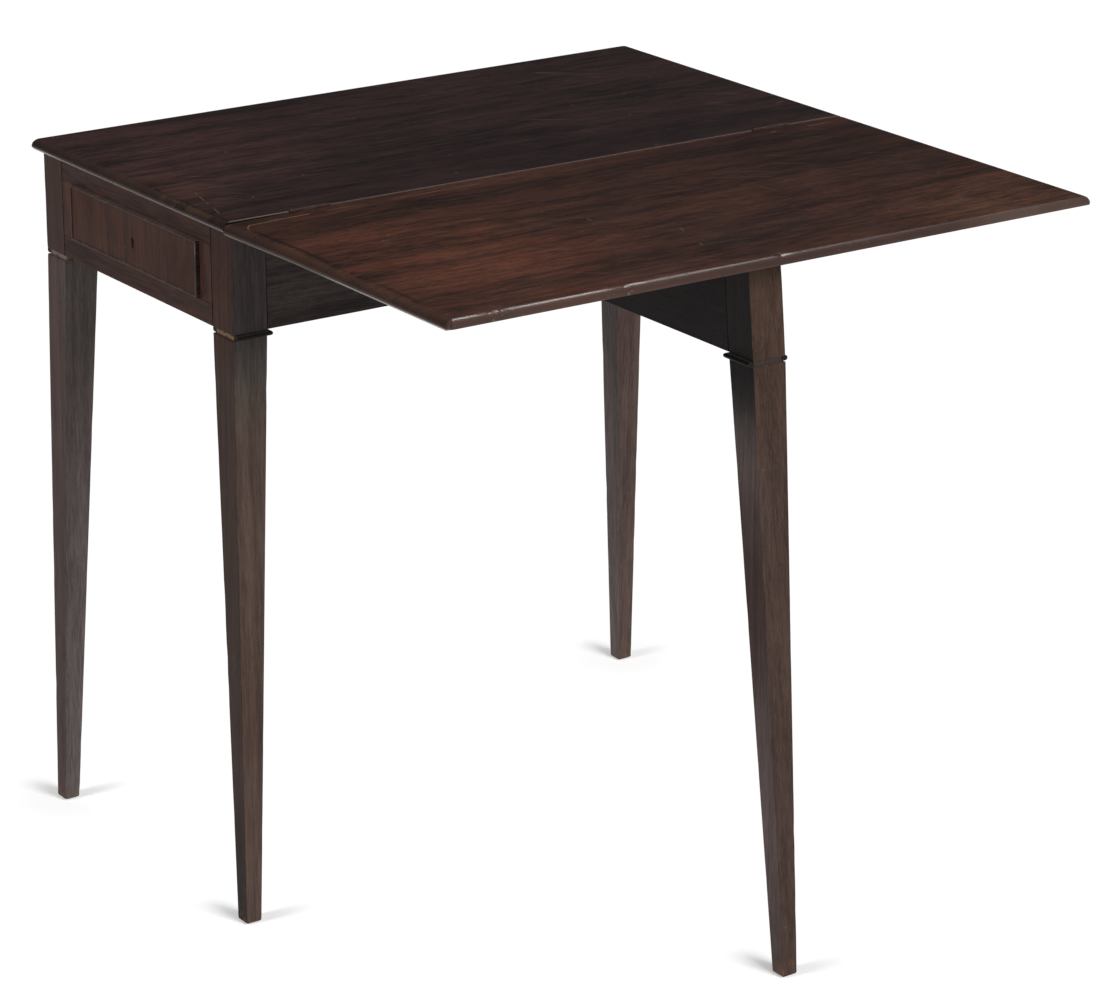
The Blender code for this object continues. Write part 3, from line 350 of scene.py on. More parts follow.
def mahogany(
    name, grain, dark, light, offset, spread=1.0, amount=0.5, gloss=0.36, shine=0.12, edge=BARE_WOOD,
    pores=0.3, specks=0.15, relief=0.12, layers=(), duller=None,
):
    """A mahogany with its grain along one axis.

    Spread widens its marks across the grain. Amount says how far its edges are rubbed. Duller is a mask.
    """
    material, tree, shader = new_material(name)
    place = put(tree, "ShaderNodeTexCoord").outputs["Object"]
    turn = {"Vector": place, "Location": offset, "Rotation": GRAIN_TURNS[grain]}
    turned = put(tree, "ShaderNodeMapping", turn).outputs[0]
    widen = {"Vector": turned, "Scale": (1.0, 1.0 / spread, 1.0 / spread)}
    wood = placed_group(tree, figure, Vector=put(tree, "ShaderNodeMapping", widen).outputs[0])
    old = placed_group(tree, age, Vector=turned, Worn=from_mesh(tree, "worn"), Amount=amount)

    tone = sum_of(tree, "MULTIPLY", wood["Fleck"], FLECK_SHARE)
    tone = sum_of(tree, "MULTIPLY_ADD", wood["Band"], BAND_SHARE, tone)
    tone = sum_of(tree, "MULTIPLY_ADD", wood["Cloud"], CLOUD_SHARE, tone)
    colour = tinted(tree, tone, (*dark, 1.0), (*light, 1.0))
    colour = laid_over(tree, wood["Pore"], pores, colour, DIRT)
    for layer in layers:
        colour = layer(tree, place, colour)
    colour = laid_over(tree, old["Rubbed"], RUB_STRENGTH, colour, edge)
    colour = laid_over(tree, old["Speck"], specks, colour, CHIP)
    colour = laid_over(tree, old["Scratch"], specks, colour, CHIP)
    tree.links.new(colour, shader.inputs["Base Color"])

    dull = sum_of(tree, "MULTIPLY_ADD", old["Film"], FILM_DULLS, gloss - FILM_DULLS / 2)
    dull = sum_of(tree, "MULTIPLY_ADD", old["Rubbed"], RUB_DULLS, dull)
    if duller:
        dull = sum_of(tree, "MULTIPLY_ADD", duller(tree, place), FRONT_DULLS, dull)
    tree.links.new(dull, shader.inputs["Roughness"])
    shader.inputs["Specular IOR Level"].default_value = shine
    height = sum_of(tree, "MULTIPLY", wood["Fleck"], FLECK_HEIGHT)
    height = sum_of(tree, "MULTIPLY_ADD", wood["Pore"], PORE_DEPTH, height)
    bump = put(tree, "ShaderNodeBump", {"Strength": relief, "Distance": RELIEF_HIGH, "Height": height})
    tree.links.new(bump.outputs[0], shader.inputs["Normal"])
    return material


# %% [markdown]
# ## Marks that belong to one place
# Some marks sit at one place on one piece: a scratch, a line of dirt, a patch that is lighter or darker than
# the wood round it. Some of them are painted light and shade: a highlight along an arris and the open leaf's
# shadow on a leg.
# They could be painted on an unwrapped picture. Here each is a sum: the distance to a short line, or to a
# centre, decides how much of its tone is laid over the wood, and noise breaks it up.

# %% Marks that belong to one place
STROKE_CORE = 0.2
PATCH_RIPPLES, RIPPLE, PATCH_BORDER = (9.0, 16.0, 16.0), 0.9, (1.0, 0.15)

stroke, takes, gives = new_group(
    "stroke_mask",
    [("Vector", "Vector"), ("Start", "Vector"), ("End", "Vector"), ("Width", "Float")],
    [("Mask", "Float")],
)
whole = vector_sum(stroke, "SUBTRACT", takes["End"], takes["Start"])
part = vector_sum(stroke, "SUBTRACT", takes["Vector"], takes["Start"])
share = sum_of(stroke, "DIVIDE", vector_sum(stroke, "DOT_PRODUCT", part, whole),
               vector_sum(stroke, "DOT_PRODUCT", whole, whole), clamp=True)
closest = put(stroke, "ShaderNodeVectorMath", {0: whole, "Scale": share}, operation="SCALE").outputs[0]
gap = vector_sum(stroke, "LENGTH", vector_sum(stroke, "SUBTRACT", part, closest))
core = sum_of(stroke, "MULTIPLY", takes["Width"], STROKE_CORE)
stroke.links.new(fade(stroke, gap, takes["Width"], core), gives["Mask"])


def mark(start, end, width, tone, strength, breaks=0.0, squash=(1.0, 1.0, 1.0)):
    """A layer for a line of some tone. Breaks says how often per metre it is interrupted.

    Squash makes distances along an axis count less.
    """
    ends = [tuple(part * share for part, share in zip(point, squash)) for point in (start, end)]

    def layer(tree, place, colour):
        flat = vector_sum(tree, "MULTIPLY", place, squash)
        mask = placed_group(tree, stroke, Vector=flat, Start=ends[0], End=ends[1], Width=width)["Mask"]
        if breaks:
            kept = fade(tree, drawn_noise(tree, place, (breaks, breaks, breaks), 2.0), 0.40, 0.58)
            mask = sum_of(tree, "MULTIPLY", mask, kept)
        return laid_over(tree, mask, strength, colour, tone)
    return layer


def patch(centre, reach, gain, face=None):
    """A layer that brightens or darkens the wood round a centre. Face keeps it to "side" or "front" faces."""
    def layer(tree, place, colour):
        shrink = {"Vector": place, "Location": centre, "Scale": reach}
        inside = put(tree, "ShaderNodeMapping", shrink, vector_type="TEXTURE").outputs[0]
        ripple = drawn_noise(tree, place, PATCH_RIPPLES, 4.0)
        ripple = sum_of(tree, "MULTIPLY_ADD", ripple, RIPPLE, -RIPPLE / 2)
        distance = sum_of(tree, "ADD", vector_sum(tree, "LENGTH", inside), ripple)
        mask = fade(tree, distance, *PATCH_BORDER)
        if face:
            mask = sum_of(tree, "MULTIPLY", mask, from_mesh(tree, face))
        return tinted(tree, mask, colour, (*gain, 1.0), "MULTIPLY")
    return layer


print("stroke:", len(stroke.nodes), "nodes")

# %% [markdown]
# ## Easing a solid
# A solid from CAD has knife edges and loose triangles. To make a piece of furniture of it, the copy's
# triangles are joined, flat faces are made whole again, and the outer edges are bevelled by half a
# millimetre. A Bevel modifier could ease the edges too, but here the new faces have to be known, because the
# polish is rubbed through on them.

# %% Easing a solid
SHARP, SHORTEST = math.radians(40.0), 0.004
SAME_PLACE, IN_FOOT = 5e-6, 1.1
WHOLE_FACES = {"angle_limit": math.radians(0.3), "use_dissolve_boundaries": False, "delimit": set()}
BEVEL_SHAPE = {"segments": 2, "profile": 0.5, "affect": "EDGES", "clamp_overlap": True, "material": -1}


def joined_copy(node):
    """A solid's mesh with its triangles joined and its flat faces made whole."""
    mesh = bmesh.new()
    mesh.from_mesh(frame["nodes"][node].data)
    bmesh.ops.remove_doubles(mesh, verts=mesh.verts, dist=SAME_PLACE)
    bmesh.ops.dissolve_limit(mesh, verts=mesh.verts, edges=mesh.edges, **WHOLE_FACES)
    mesh.faces.layers.float.new("worn")
    return mesh


def ease_edges(mesh, width, foot=0.0):
    """Bevels the outward edges that are sharp, and long or in a foot. Marks their new faces as worn."""
    sharp = [
        edge for edge in mesh.edges
        if edge.is_convex and edge.calc_face_angle(0.0) > SHARP
        and (edge.calc_length() > SHORTEST or max(vert.co.z for vert in edge.verts) < IN_FOOT * foot)
    ]
    made = bmesh.ops.bevel(mesh, geom=sharp, offset=width, **BEVEL_SHAPE)
    worn = mesh.faces.layers.float["worn"]
    for face in made["faces"]:
        face[worn] = 1.0
    return len(sharp)


# %% [markdown]
# ## Strips and knocks
# No table is used for two centuries without knocks. A long edge has vertices only at its two ends, so the
# copy is first cut across into short strips, which gives the edge places that can move. Noise then says where
# it is pressed in. It could be sculpted by hand, but noise comes out the same each time.

# %% Strips and knocks
KNOCKS_PER_METRE, UNKNOCKED = 60.0, 0.15


def cut_in_strips(mesh, axis, places):
    """Cuts right across a mesh at some places along one axis."""
    normal = Vector((0.0, 0.0, 0.0))
    normal[axis] = 1.0
    for place in places:
        everything = mesh.verts[:] + mesh.edges[:] + mesh.faces[:]
        bmesh.ops.bisect_plane(mesh, geom=everything, plane_co=normal * place, plane_no=normal, dist=1e-6)


def steps_between(low, high, step):
    """Even places between two ends, about a step apart."""
    count = max(1, round((high - low) / step))
    return [low + (high - low) * number / count for number in range(1, count)]


def knock_edges(mesh, depth, seed):
    """Presses the worn edges in here and there."""
    worn = mesh.faces.layers.float["worn"]
    mesh.normal_update()
    for vert in mesh.verts:
        if any(face[worn] > 0.5 for face in vert.link_faces):
            dent = noise.noise(vert.co * KNOCKS_PER_METRE + Vector((seed, 0.0, 0.0)))
            vert.co -= vert.normal * depth * max(0.0, dent - UNKNOCKED)


# %% [markdown]
# ## Pieces that stand for solids
# A dressed copy takes the place of its solid and rides on the same body, so that the leaf still folds and the
# drawer still slides. Broad faces are shaded flat and rounded ones smooth, and an edge that turns sharply
# stays crisp. Shade Auto Smooth would do this with a modifier, but plain flags travel with the mesh.

# %% Pieces that stand for solids
CRISP = math.radians(35.0)
body_of = {node: body for body, nodes in frame["record"]["behaviour"]["bodies"].items() for node in nodes}
slot_of = {row["node"]: row["material_slot"] for row in frame["record"]["subparts"]}


def finished(node, mesh, material, flat_within):
    """Turns a bmesh into the piece that stands for a solid. Faces that nearly face an axis stay flat."""
    name, body, slot = "old_" + node, body_of[node], slot_of[node]
    for face in mesh.faces:
        face.smooth = max(abs(part) for part in face.normal) < math.cos(math.radians(flat_within))
    for edge in mesh.edges:
        edge.smooth = edge.calc_face_angle(0.0) < CRISP
    data = bpy.data.meshes.new(name)
    mesh.to_mesh(data)
    mesh.free()
    piece = bpy.data.objects.new(name, data)
    bpy.context.scene.collection.objects.link(piece)
    data.materials.append(material)
    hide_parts(node)
    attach(piece, body)
    return piece


# %% [markdown]
# ## Eased pieces
# Here the steps come together for one piece. Feet that are dragged over floors wear round, so a leg's foot is
# rounded too. A bevel would bulge past the small chamfer that the solid already has there, so each level of
# the foot is drawn in instead. Faces that look to the drawer end or to the front are marked, so that the
# light and shade that falls on them can be painted on them apart from the rest.

# %% Eased pieces
FOOT_CUTS = (0.1, 0.25, 0.7)
FACING = -0.7


def section(mesh, height):
    """Cuts a leg level at some height and gives the middle and half the width of the cut."""
    cut_in_strips(mesh, 2, [height])
    row = [vert.co for vert in mesh.verts if abs(vert.co.z - height) < 1e-6]
    low = Vector((min(place.x for place in row), min(place.y for place in row)))
    high = Vector((max(place.x for place in row), max(place.y for place in row)))
    return (low + high) / 2, (high - low) / 2


def round_foot(mesh, width):
    """Rounds a foot where it stands on the floor: each level of it is drawn in to a quarter circle."""
    middle, half = section(mesh, width)
    lean = (section(mesh, 2.0 * width)[0] - middle) / width
    cut_in_strips(mesh, 2, [share * width for share in FOOT_CUTS])
    for vert in mesh.verts:
        drop = width - vert.co.z
        if drop > 0.0:
            inset = width - math.sqrt(max(0.0, width ** 2 - drop ** 2))
            for axis in (0, 1):
                centre = middle[axis] - lean[axis] * drop
                vert.co[axis] = centre + (vert.co[axis] - centre) * (1.0 - inset / half[axis])


def eased_piece(node, material, width=0.0005, axis=None, step=0.025, depth=0.0004, seed=0.0, foot=0.0):
    """An eased copy of a solid, cut in strips along its length when an axis is given."""
    mesh = joined_copy(node)
    eased = ease_edges(mesh, width, foot)
    if foot:
        round_foot(mesh, foot)
    if axis is not None:
        low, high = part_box(node)
        cut_in_strips(mesh, axis, steps_between(low[axis], high[axis], step))
        knock_edges(mesh, depth, seed)
    count = len(mesh.faces)
    mesh.normal_update()
    side, front = mesh.faces.layers.float.new("side"), mesh.faces.layers.float.new("front")
    for face in mesh.faces:
        face[side] = 1.0 if face.normal.x < FACING else 0.0
        face[front] = 1.0 if face.normal.y < FACING else 0.0
    piece = finished(node, mesh, material, flat_within=8.0)
    print(f"{piece.name}: {eased} edges eased, {count} faces")
    return piece


# %% [markdown]
# ## Layers for the boards
# A board's ends, edges and top age in different ways. The ends soak up dirt, the chamfer under them is
# painted pale, partly as bare wear and partly as a painted highlight, the front edge of the leaf gets a
# painted grey sheen, and the top collects lines and scratches. Each is a small layer, laid over the wood
# where it belongs. A separate material for each part would leave hard borders.

# %% Layers for the boards
TOP, LEFT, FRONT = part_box("leaf_board")[1].z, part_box("leaf_board")[0].x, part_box("leaf_board")[0].y
LEAF_EDGE, FIXED_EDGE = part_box("leaf_board")[1].y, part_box("fixed_top")[0].y
OLD_LINE = LEAF_EDGE - 0.0170
# PALE_WEAR_AND_GLINT lays real scratches and chips, and painted highlights; SOOT_AND_SHADE lays real dirt,
# and painted shade.
PALE_WEAR_AND_GLINT, TAN, SOOT_AND_SHADE = (0.24, 0.185, 0.15), (0.30, 0.17, 0.095), (0.006, 0.0045, 0.004)
# CREASE_HIGHLIGHT is a painted highlight along the fixed board's arris at the crease.
CREASE_HIGHLIGHT = (0.135, 0.089, 0.075)
END_FROM, END_FULL = 0.0095, 0.0045
FRONT_FROM, FRONT_FULL = 0.0080, 0.0050


def top_mark(start, end, width, tone, strength, breaks=0.0):
    """A mark on the top between two pairs of x and y. Height counts little, as the worn leaf lies lower."""
    return mark((*start, TOP), (*end, TOP), width, tone, strength, breaks, squash=(1.0, 1.0, 0.15))


def scratch(start, end, width=0.0008, strength=0.5):
    """A short pale line on the top."""
    return top_mark(start, end, width, PALE_WEAR_AND_GLINT, strength)


def end_grain(tone, strength):
    """A layer for the two short ends of a board, where the cut fibres have soaked up dirt and polish."""
    def layer(tree, place, colour):
        along = sum_of(tree, "ABSOLUTE", along_axis(tree, place, 0))
        mask = fade(tree, along, -LEFT - END_FROM, -LEFT - END_FULL)
        return laid_over(tree, mask, strength, colour, tone)
    return layer


def pale_arris_and_glint(tone, strength):
    """A layer for the chamfer under the two short ends: pale as bare wear, and as a painted highlight."""
    def layer(tree, place, colour):
        return laid_over(tree, from_mesh(tree, "worn"), strength, colour, tone)
    return layer


def at_front(tree, place):
    """1 on the rounded front edge of the leaf."""
    return fade(tree, along_axis(tree, place, 1), FRONT + FRONT_FROM, FRONT + FRONT_FULL)


def front_edge_sheen(tone, strength):
    """A layer of painted grey sheen on the rounded front edge of the leaf."""
    def layer(tree, place, colour):
        return laid_over(tree, at_front(tree, place), strength, colour, tone)
    return layer


# %% [markdown]
# ## Wood of the boards
# The fixed board is almost black with age, paler along its left end where hands rub it. The leaf, which lay
# folded over it for most of its life, has kept more of its red. Dirt lies along its left end, and an old
# line runs beside the crease. Broad patches lighten both boards towards their left ends and the leaf's front
# right corner, and darken them on the right near the crease. Along the crease, pale lines are painted
# highlights on the arrises of both boards, and a dark line at its left end is painted shade in the gap
# between them. Every mark has a measured place, so it is written as numbers, not drawn at random.

# %% Wood of the boards
fixed_marks = (
    end_grain((0.029, 0.0195, 0.0165), 0.7),
    patch((-0.30, 0.25, TOP), (0.22, 0.24, 1.0), (1.60, 1.55, 1.50)),
    patch((-0.34, 0.13, TOP), (0.05, 0.13, 1.0), (1.7, 1.6, 1.4)),
    patch((0.08, 0.06, TOP), (0.44, 0.09, 1.0), (0.66, 0.60, 0.66)),
    top_mark((LEFT + 0.0075, 0.150), (LEFT + 0.0075, FIXED_EDGE), 0.0016, SOOT_AND_SHADE, 0.8, 40.0),
    top_mark((LEFT + 0.0030, 0.130), (LEFT + 0.0030, 0.035), 0.0042, (0.095, 0.058, 0.032), 0.45, 45.0),
    top_mark((-0.336, 0.120), (-0.3545, 0.041), 0.0007, PALE_WEAR_AND_GLINT, 0.6, 80.0),
    # Painted shade: the dark gap at the crease's left end, where the leaf's corner hangs below the fixed
    # board.
    mark((LEFT, FIXED_EDGE, TOP - 0.0018), (LEFT + 0.08, FIXED_EDGE, TOP - 0.0012), 0.0016, SOOT_AND_SHADE, 0.95),
    # Painted highlights on the fixed board's arris along the crease, paler at its left end.
    mark((LEFT, FIXED_EDGE, TOP), (LEFT + 0.10, FIXED_EDGE, TOP), 0.0011, PALE_WEAR_AND_GLINT, 0.75),
    mark((LEFT + 0.09, FIXED_EDGE, TOP), (-LEFT, FIXED_EDGE, TOP), 0.0015, CREASE_HIGHLIGHT, 0.85),
    # Painted highlight and bare wear: the pale line along the chamfer under the ends.
    pale_arris_and_glint((0.44, 0.40, 0.38), 0.9),
    scratch((0.341, 0.086), (0.352, 0.0893)),
    scratch((0.1076, 0.1085), (0.1163, 0.0927), 0.0006, 0.35),
    scratch((0.1605, 0.1994), (0.1625, 0.1990), 0.0010),
)
leaf_marks = (
    end_grain((0.050, 0.032, 0.027), 0.65),
    # Painted sheen: the leaf's front edge made paler and greyer.
    front_edge_sheen((0.052, 0.033, 0.029), 0.8),
    patch((-0.26, -0.22, TOP), (0.22, 0.27, 1.0), (1.72, 1.60, 1.40)),
    patch((0.30, -0.33, TOP), (0.19, 0.10, 1.0), (1.8, 2.05, 1.85)),
    patch((0.22, -0.06, TOP), (0.32, 0.13, 1.0), (0.54, 0.54, 0.58)),
    patch((0.30, -0.17, TOP), (0.15, 0.12, 1.0), (0.74, 0.84, 0.84)),
    top_mark((LEFT + 0.0120, OLD_LINE - 0.02), (LEFT + 0.0115, FRONT + 0.02), 0.0038, SOOT_AND_SHADE, 0.75, 9.0),
    top_mark((LEFT + 0.0150, FRONT + 0.0108), (0.10, FRONT + 0.0108), 0.0015, SOOT_AND_SHADE, 0.45, 16.0),
    top_mark((LEFT + 0.0125, OLD_LINE - 0.010), (LEFT + 0.0125, OLD_LINE - 0.007), 0.0011, TAN, 0.6),
    top_mark((LEFT + 0.0125, OLD_LINE - 0.007), (LEFT + 0.0185, OLD_LINE), 0.0011, TAN, 0.7),
    top_mark((LEFT + 0.0185, OLD_LINE), (-0.285, OLD_LINE), 0.0011, TAN, 0.8),
    top_mark((-0.285, OLD_LINE), (-0.05, OLD_LINE), 0.0010, TAN, 0.45, 40.0),
    top_mark((0.262, OLD_LINE), (0.268, OLD_LINE), 0.0010, TAN, 0.6),
    top_mark((0.300, OLD_LINE), (0.346, OLD_LINE), 0.0010, TAN, 0.55, 60.0),
    # Painted highlight on the leaf's arris at the left end of the crease.
    top_mark((LEFT, LEAF_EDGE - 0.0008), (LEFT + 0.10, LEAF_EDGE - 0.0008), 0.0013, PALE_WEAR_AND_GLINT, 0.6, 40.0),
    top_mark((0.358, FRONT + 0.016), (0.362, FRONT + 0.014), 0.0040, SOOT_AND_SHADE, 0.55),
    # Painted highlight and bare wear: the pale line along the chamfer under the ends.
    pale_arris_and_glint((0.34, 0.32, 0.285), 0.85),
    scratch((-0.0787, -0.1716), (-0.0786, -0.178)),
    scratch((-0.0260, -0.2479), (-0.0270, -0.2556)),
    scratch((-0.0418, -0.2993), (-0.0427, -0.3068)),
    scratch((0.1254, -0.171), (0.1303, -0.190), 0.0007, 0.4),
)
fixed_wood = mahogany(
    "fixed_board_wood", "x", (0.003, 0.0015, 0.0014), (0.046, 0.0208, 0.0194), (0.7, 0.2, 0.0), spread=1.7,
    amount=0.0, gloss=0.24, shine=0.5, pores=0.55, specks=0.28, relief=0.05, layers=fixed_marks,
)
leaf_wood = mahogany(
    "leaf_wood", "x", (0.007, 0.0026, 0.0021), (0.085, 0.0292, 0.0176), (0.1, 0.5, 0.0), spread=1.7,
    amount=0.0, gloss=0.24, shine=0.5, pores=0.55, specks=0.2, relief=0.02, layers=leaf_marks,
    duller=at_front,
)
print("marks on the boards:", len(fixed_marks), "and", len(leaf_marks))

# %% [markdown]
# ## Shape of the boards
# Both boards are thin, with a rounded nose above and a small chamfer below. Their outer corners are rounded,
# and the leaf has knocks in its front edge, a planed underside along it, and a worn crease that has opened a
# little where its left corner hangs. The boards are cut into strips at those places, and the vertices there
# are moved. Booleans could cut the shapes out, but they leave ragged faces on a board this thin.

# %% Shape of the boards
STRIP_X, STRIP_Y = 0.024, 0.03
NICKS = (-0.3228, -0.3093, -0.1775, -0.0023)
NICK_HALF, NICK_DEEP, NICK_LOW = 0.002, 0.010, 0.006
NICK_CUTS, NICK_PRESSED = (-0.004, -0.0012, 0.0012, 0.004), Vector((0.0, 0.0006, -0.0008))
CORNER, CORNER_CUTS = 0.006, (0.1, 0.25, 0.4, 0.55, 0.7, 0.85, 1.0)
CHAMFER_HIGH, UNDERCUT = 0.0025, 0.009
LOOKS_DOWN, LOOKS_OUT = -0.2, 0.5
SAG, SAG_LENGTH, SAG_DEPTH = 0.0022, 0.12, 0.12
CREASE_WEAR, CREASE_STRIP, CREASE_EDGE = 0.0006, 0.006, 0.002


def round_corners(mesh, node, outer_y):
    """Rounds the two outer corners of a board in plan, every level of its nose about the same centre."""
    low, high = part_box(node)
    for vert in mesh.verts:
        inset = Vector((min(vert.co.x - low.x, high.x - vert.co.x), abs(vert.co.y - outer_y)))
        if max(inset) < CORNER:
            from_centre = Vector((CORNER, CORNER)) - inset
            wanted = (CORNER - min(inset)) / max(from_centre.length, 1e-6)
            moved = Vector((CORNER, CORNER)) - from_centre * min(1.0, wanted)
            vert.co.x = low.x + moved.x if vert.co.x < 0.0 else high.x - moved.x
            vert.co.y = outer_y + (moved.y if outer_y == low.y else -moved.y)


def board_mesh(node, outer_y, nicks=(), crease_strip=()):
    """A board cut in strips to take knocks; its end chamfers are marked worn, for wear and a painted
    highlight.
    """
    mesh = joined_copy(node)
    low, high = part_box(node)
    beside_nicks = [nick + side for nick in nicks for side in NICK_CUTS]
    in_corner = [CORNER * share for share in CORNER_CUTS]
    corner_x = [low.x + step for step in in_corner] + [high.x - step for step in in_corner]
    corner_y = [outer_y + (step if outer_y == low.y else -step) for step in (*in_corner, UNDERCUT)]
    cut_in_strips(mesh, 0, steps_between(low.x, high.x, STRIP_X) + beside_nicks + corner_x)
    beside_crease = [high.y - strip for strip in crease_strip]
    cut_in_strips(mesh, 1, steps_between(low.y, high.y, STRIP_Y) + beside_crease + corner_y)
    mesh.normal_update()
    worn = mesh.faces.layers.float["worn"]
    for face in mesh.faces:
        under_end = face.normal.z < LOOKS_DOWN and abs(face.normal.x) > LOOKS_OUT
        face[worn] = 1.0 if under_end else 0.0
    round_corners(mesh, node, outer_y)
    for vert in mesh.verts:
        if vert.co.y < low.y + NICK_DEEP and vert.co.z > high.z - NICK_LOW:
            if any(abs(vert.co.x - nick) < NICK_HALF for nick in nicks):
                vert.co += NICK_PRESSED
    return mesh


def undercut_front(mesh, node):
    """Planes the underside off along the front edge, which makes a board look thinner than it is."""
    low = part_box(node)[0]
    for vert in mesh.verts:
        share = (vert.co.y - low.y) / UNDERCUT
        if share < 1.0:
            vert.co.z = max(vert.co.z, low.z + CHAMFER_HIGH * (1.0 - share))


def sag_at_crease(mesh, node):
    """Wears the leaf down along the crease, and lets its left corner there hang a little."""
    low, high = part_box(node)
    for vert in mesh.verts:
        along = max(0.0, 1.0 - (vert.co.x - low.x) / SAG_LENGTH)
        across = max(0.0, 1.0 - (high.y - vert.co.y) / SAG_DEPTH)
        drop = SAG * along ** 1.5 * across
        if vert.co.y > high.y - CREASE_EDGE and vert.co.z > high.z - CREASE_EDGE:
            drop += CREASE_WEAR
        vert.co.z -= drop


def finished_board(node, mesh, material):
    """Finishes a board. Its nose is a gentle curve, so only faces that lie very flat are shaded flat."""
    mesh.normal_update()
    count = len(mesh.faces)
    piece = finished(node, mesh, material, flat_within=1.0)
    print(piece.name, count, "faces")


finished_board("fixed_top", board_mesh("fixed_top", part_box("fixed_top")[1].y), fixed_wood)
leaf_mesh = board_mesh("leaf_board", FRONT, NICKS, (CREASE_STRIP,))
undercut_front(leaf_mesh, "leaf_board")
sag_at_crease(leaf_mesh, "leaf_board")
finished_board("leaf_board", leaf_mesh, leaf_wood)

# %% [markdown]
# ## Layers for the legs
# Where a stretch of the bead under the frieze is lost, its groove shows raw wood, so a band of the leg at
# that height has its own tone. The square blocks above it are redder, like the frieze, and the feet are
# scuffed. Each face also gets its own gain, which is painted light and shade: how brightly it is lit, and the
# leaf's shadow on the blocks. Separate materials could do that, but the marked faces let one wood do it.

# %% Layers for the legs
SCUFFED_UP_TO, SCUFFED_MOST, SCUFF_STRENGTH = 0.022, 0.003, 0.7
FADE_OUT, FADE_IN = 0.0004, 0.0002
UNCHANGED, UNSEEN_BLOCK = (1.0, 1.0, 1.0, 1.0), (0.60, 0.47, 0.42, 1.0)
GROOVE_LOW, GROOVE_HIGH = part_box("collar_front_left")[0].z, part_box("collar_front_left")[1].z


def raw_groove(tone, strength):
    """A layer of raw wood or old glue at the height of the bead's groove."""
    def layer(tree, place, colour):
        height = along_axis(tree, place, 2)
        above = fade(tree, height, GROOVE_LOW - FADE_OUT, GROOVE_LOW + FADE_IN)
        below = fade(tree, height, GROOVE_HIGH + FADE_OUT, GROOVE_HIGH - FADE_IN)
        flecks = fade(tree, drawn_noise(tree, place, (260.0, 260.0, 260.0), 2.0), 0.30, 0.52)
        mask = sum_of(tree, "MULTIPLY", sum_of(tree, "MULTIPLY", above, below), flecks)
        return laid_over(tree, mask, strength, colour, tone)
    return layer


# Blend fades the block's gain down the leg, which paints the leaf's shadow below the bead.
def face_light_and_shade(leg, leg_side, block, block_side, blend=0.001):
    """A layer of painted light and shade: a gain for each face, below and above the bead, front and drawer
    end.
    """
    def layer(tree, place, colour):
        height = along_axis(tree, place, 2)
        side, front = from_mesh(tree, "side"), from_mesh(tree, "front")
        below = tinted(tree, front, UNCHANGED, (*leg, 1.0))
        below = tinted(tree, side, below, (*leg_side, 1.0))
        above = tinted(tree, front, UNSEEN_BLOCK, (*block, 1.0))
        above = tinted(tree, side, above, (*block_side, 1.0))
        gain = tinted(tree, fade(tree, height, GROOVE_HIGH - blend, GROOVE_HIGH), below, above)
        return tinted(tree, 1.0, colour, gain, "MULTIPLY")
    return layer


def scuffed_foot(tree, place, colour):
    """A layer of bare scuffs on the last two centimetres above the floor."""
    height = along_axis(tree, place, 2)
    blots = fade(tree, drawn_noise(tree, place, (130.0, 130.0, 70.0), 5.0, 0.0, 0.65), 0.50, 0.60)
    mask = sum_of(tree, "MULTIPLY", fade(tree, height, SCUFFED_UP_TO, SCUFFED_MOST), blots)
    return laid_over(tree, mask, SCUFF_STRENGTH, colour, BARE_WOOD)


def leg_light_and_polish_patch(node, face, height, reach, gain):
    """A patch of painted light and shade at a height up a leg's side towards the drawer end, or its front."""
    middle = (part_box(node)[0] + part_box(node)[1]) / 2
    return patch((middle.x, middle.y, height), (0.3, 0.3, reach), gain, face)


# %% [markdown]
# ## Legs
# The legs taper on their inner faces. Their grain runs up and down, and their corners are the most knocked
# part of the table. All four share one wood, each cut from another place in it, and differ in their layers:
# painted light and shade on their faces, patches of painted light and shade up their length (on the gate
# partly uneven polish too), the groove of the bead, and dirt in the joint beside the drawer.

# %% Legs
LEG_DARK, LEG_LIGHT = (0.055, 0.0330, 0.0265), (0.123, 0.0775, 0.0615)
LEG_EDGE = (0.12, 0.075, 0.05)
DRAWER_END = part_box("drawer_stile_back")[0].x
JOINT_Y, HEAD_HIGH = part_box("leg_back_left")[0].y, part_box("leg_back_left")[1].z
joint_foot, joint_head = (DRAWER_END, JOINT_Y, GROOVE_HIGH), (DRAWER_END, JOINT_Y, HEAD_HIGH)
joint_dirt = mark(joint_foot, joint_head, 0.0024, SOOT_AND_SHADE, 0.95)
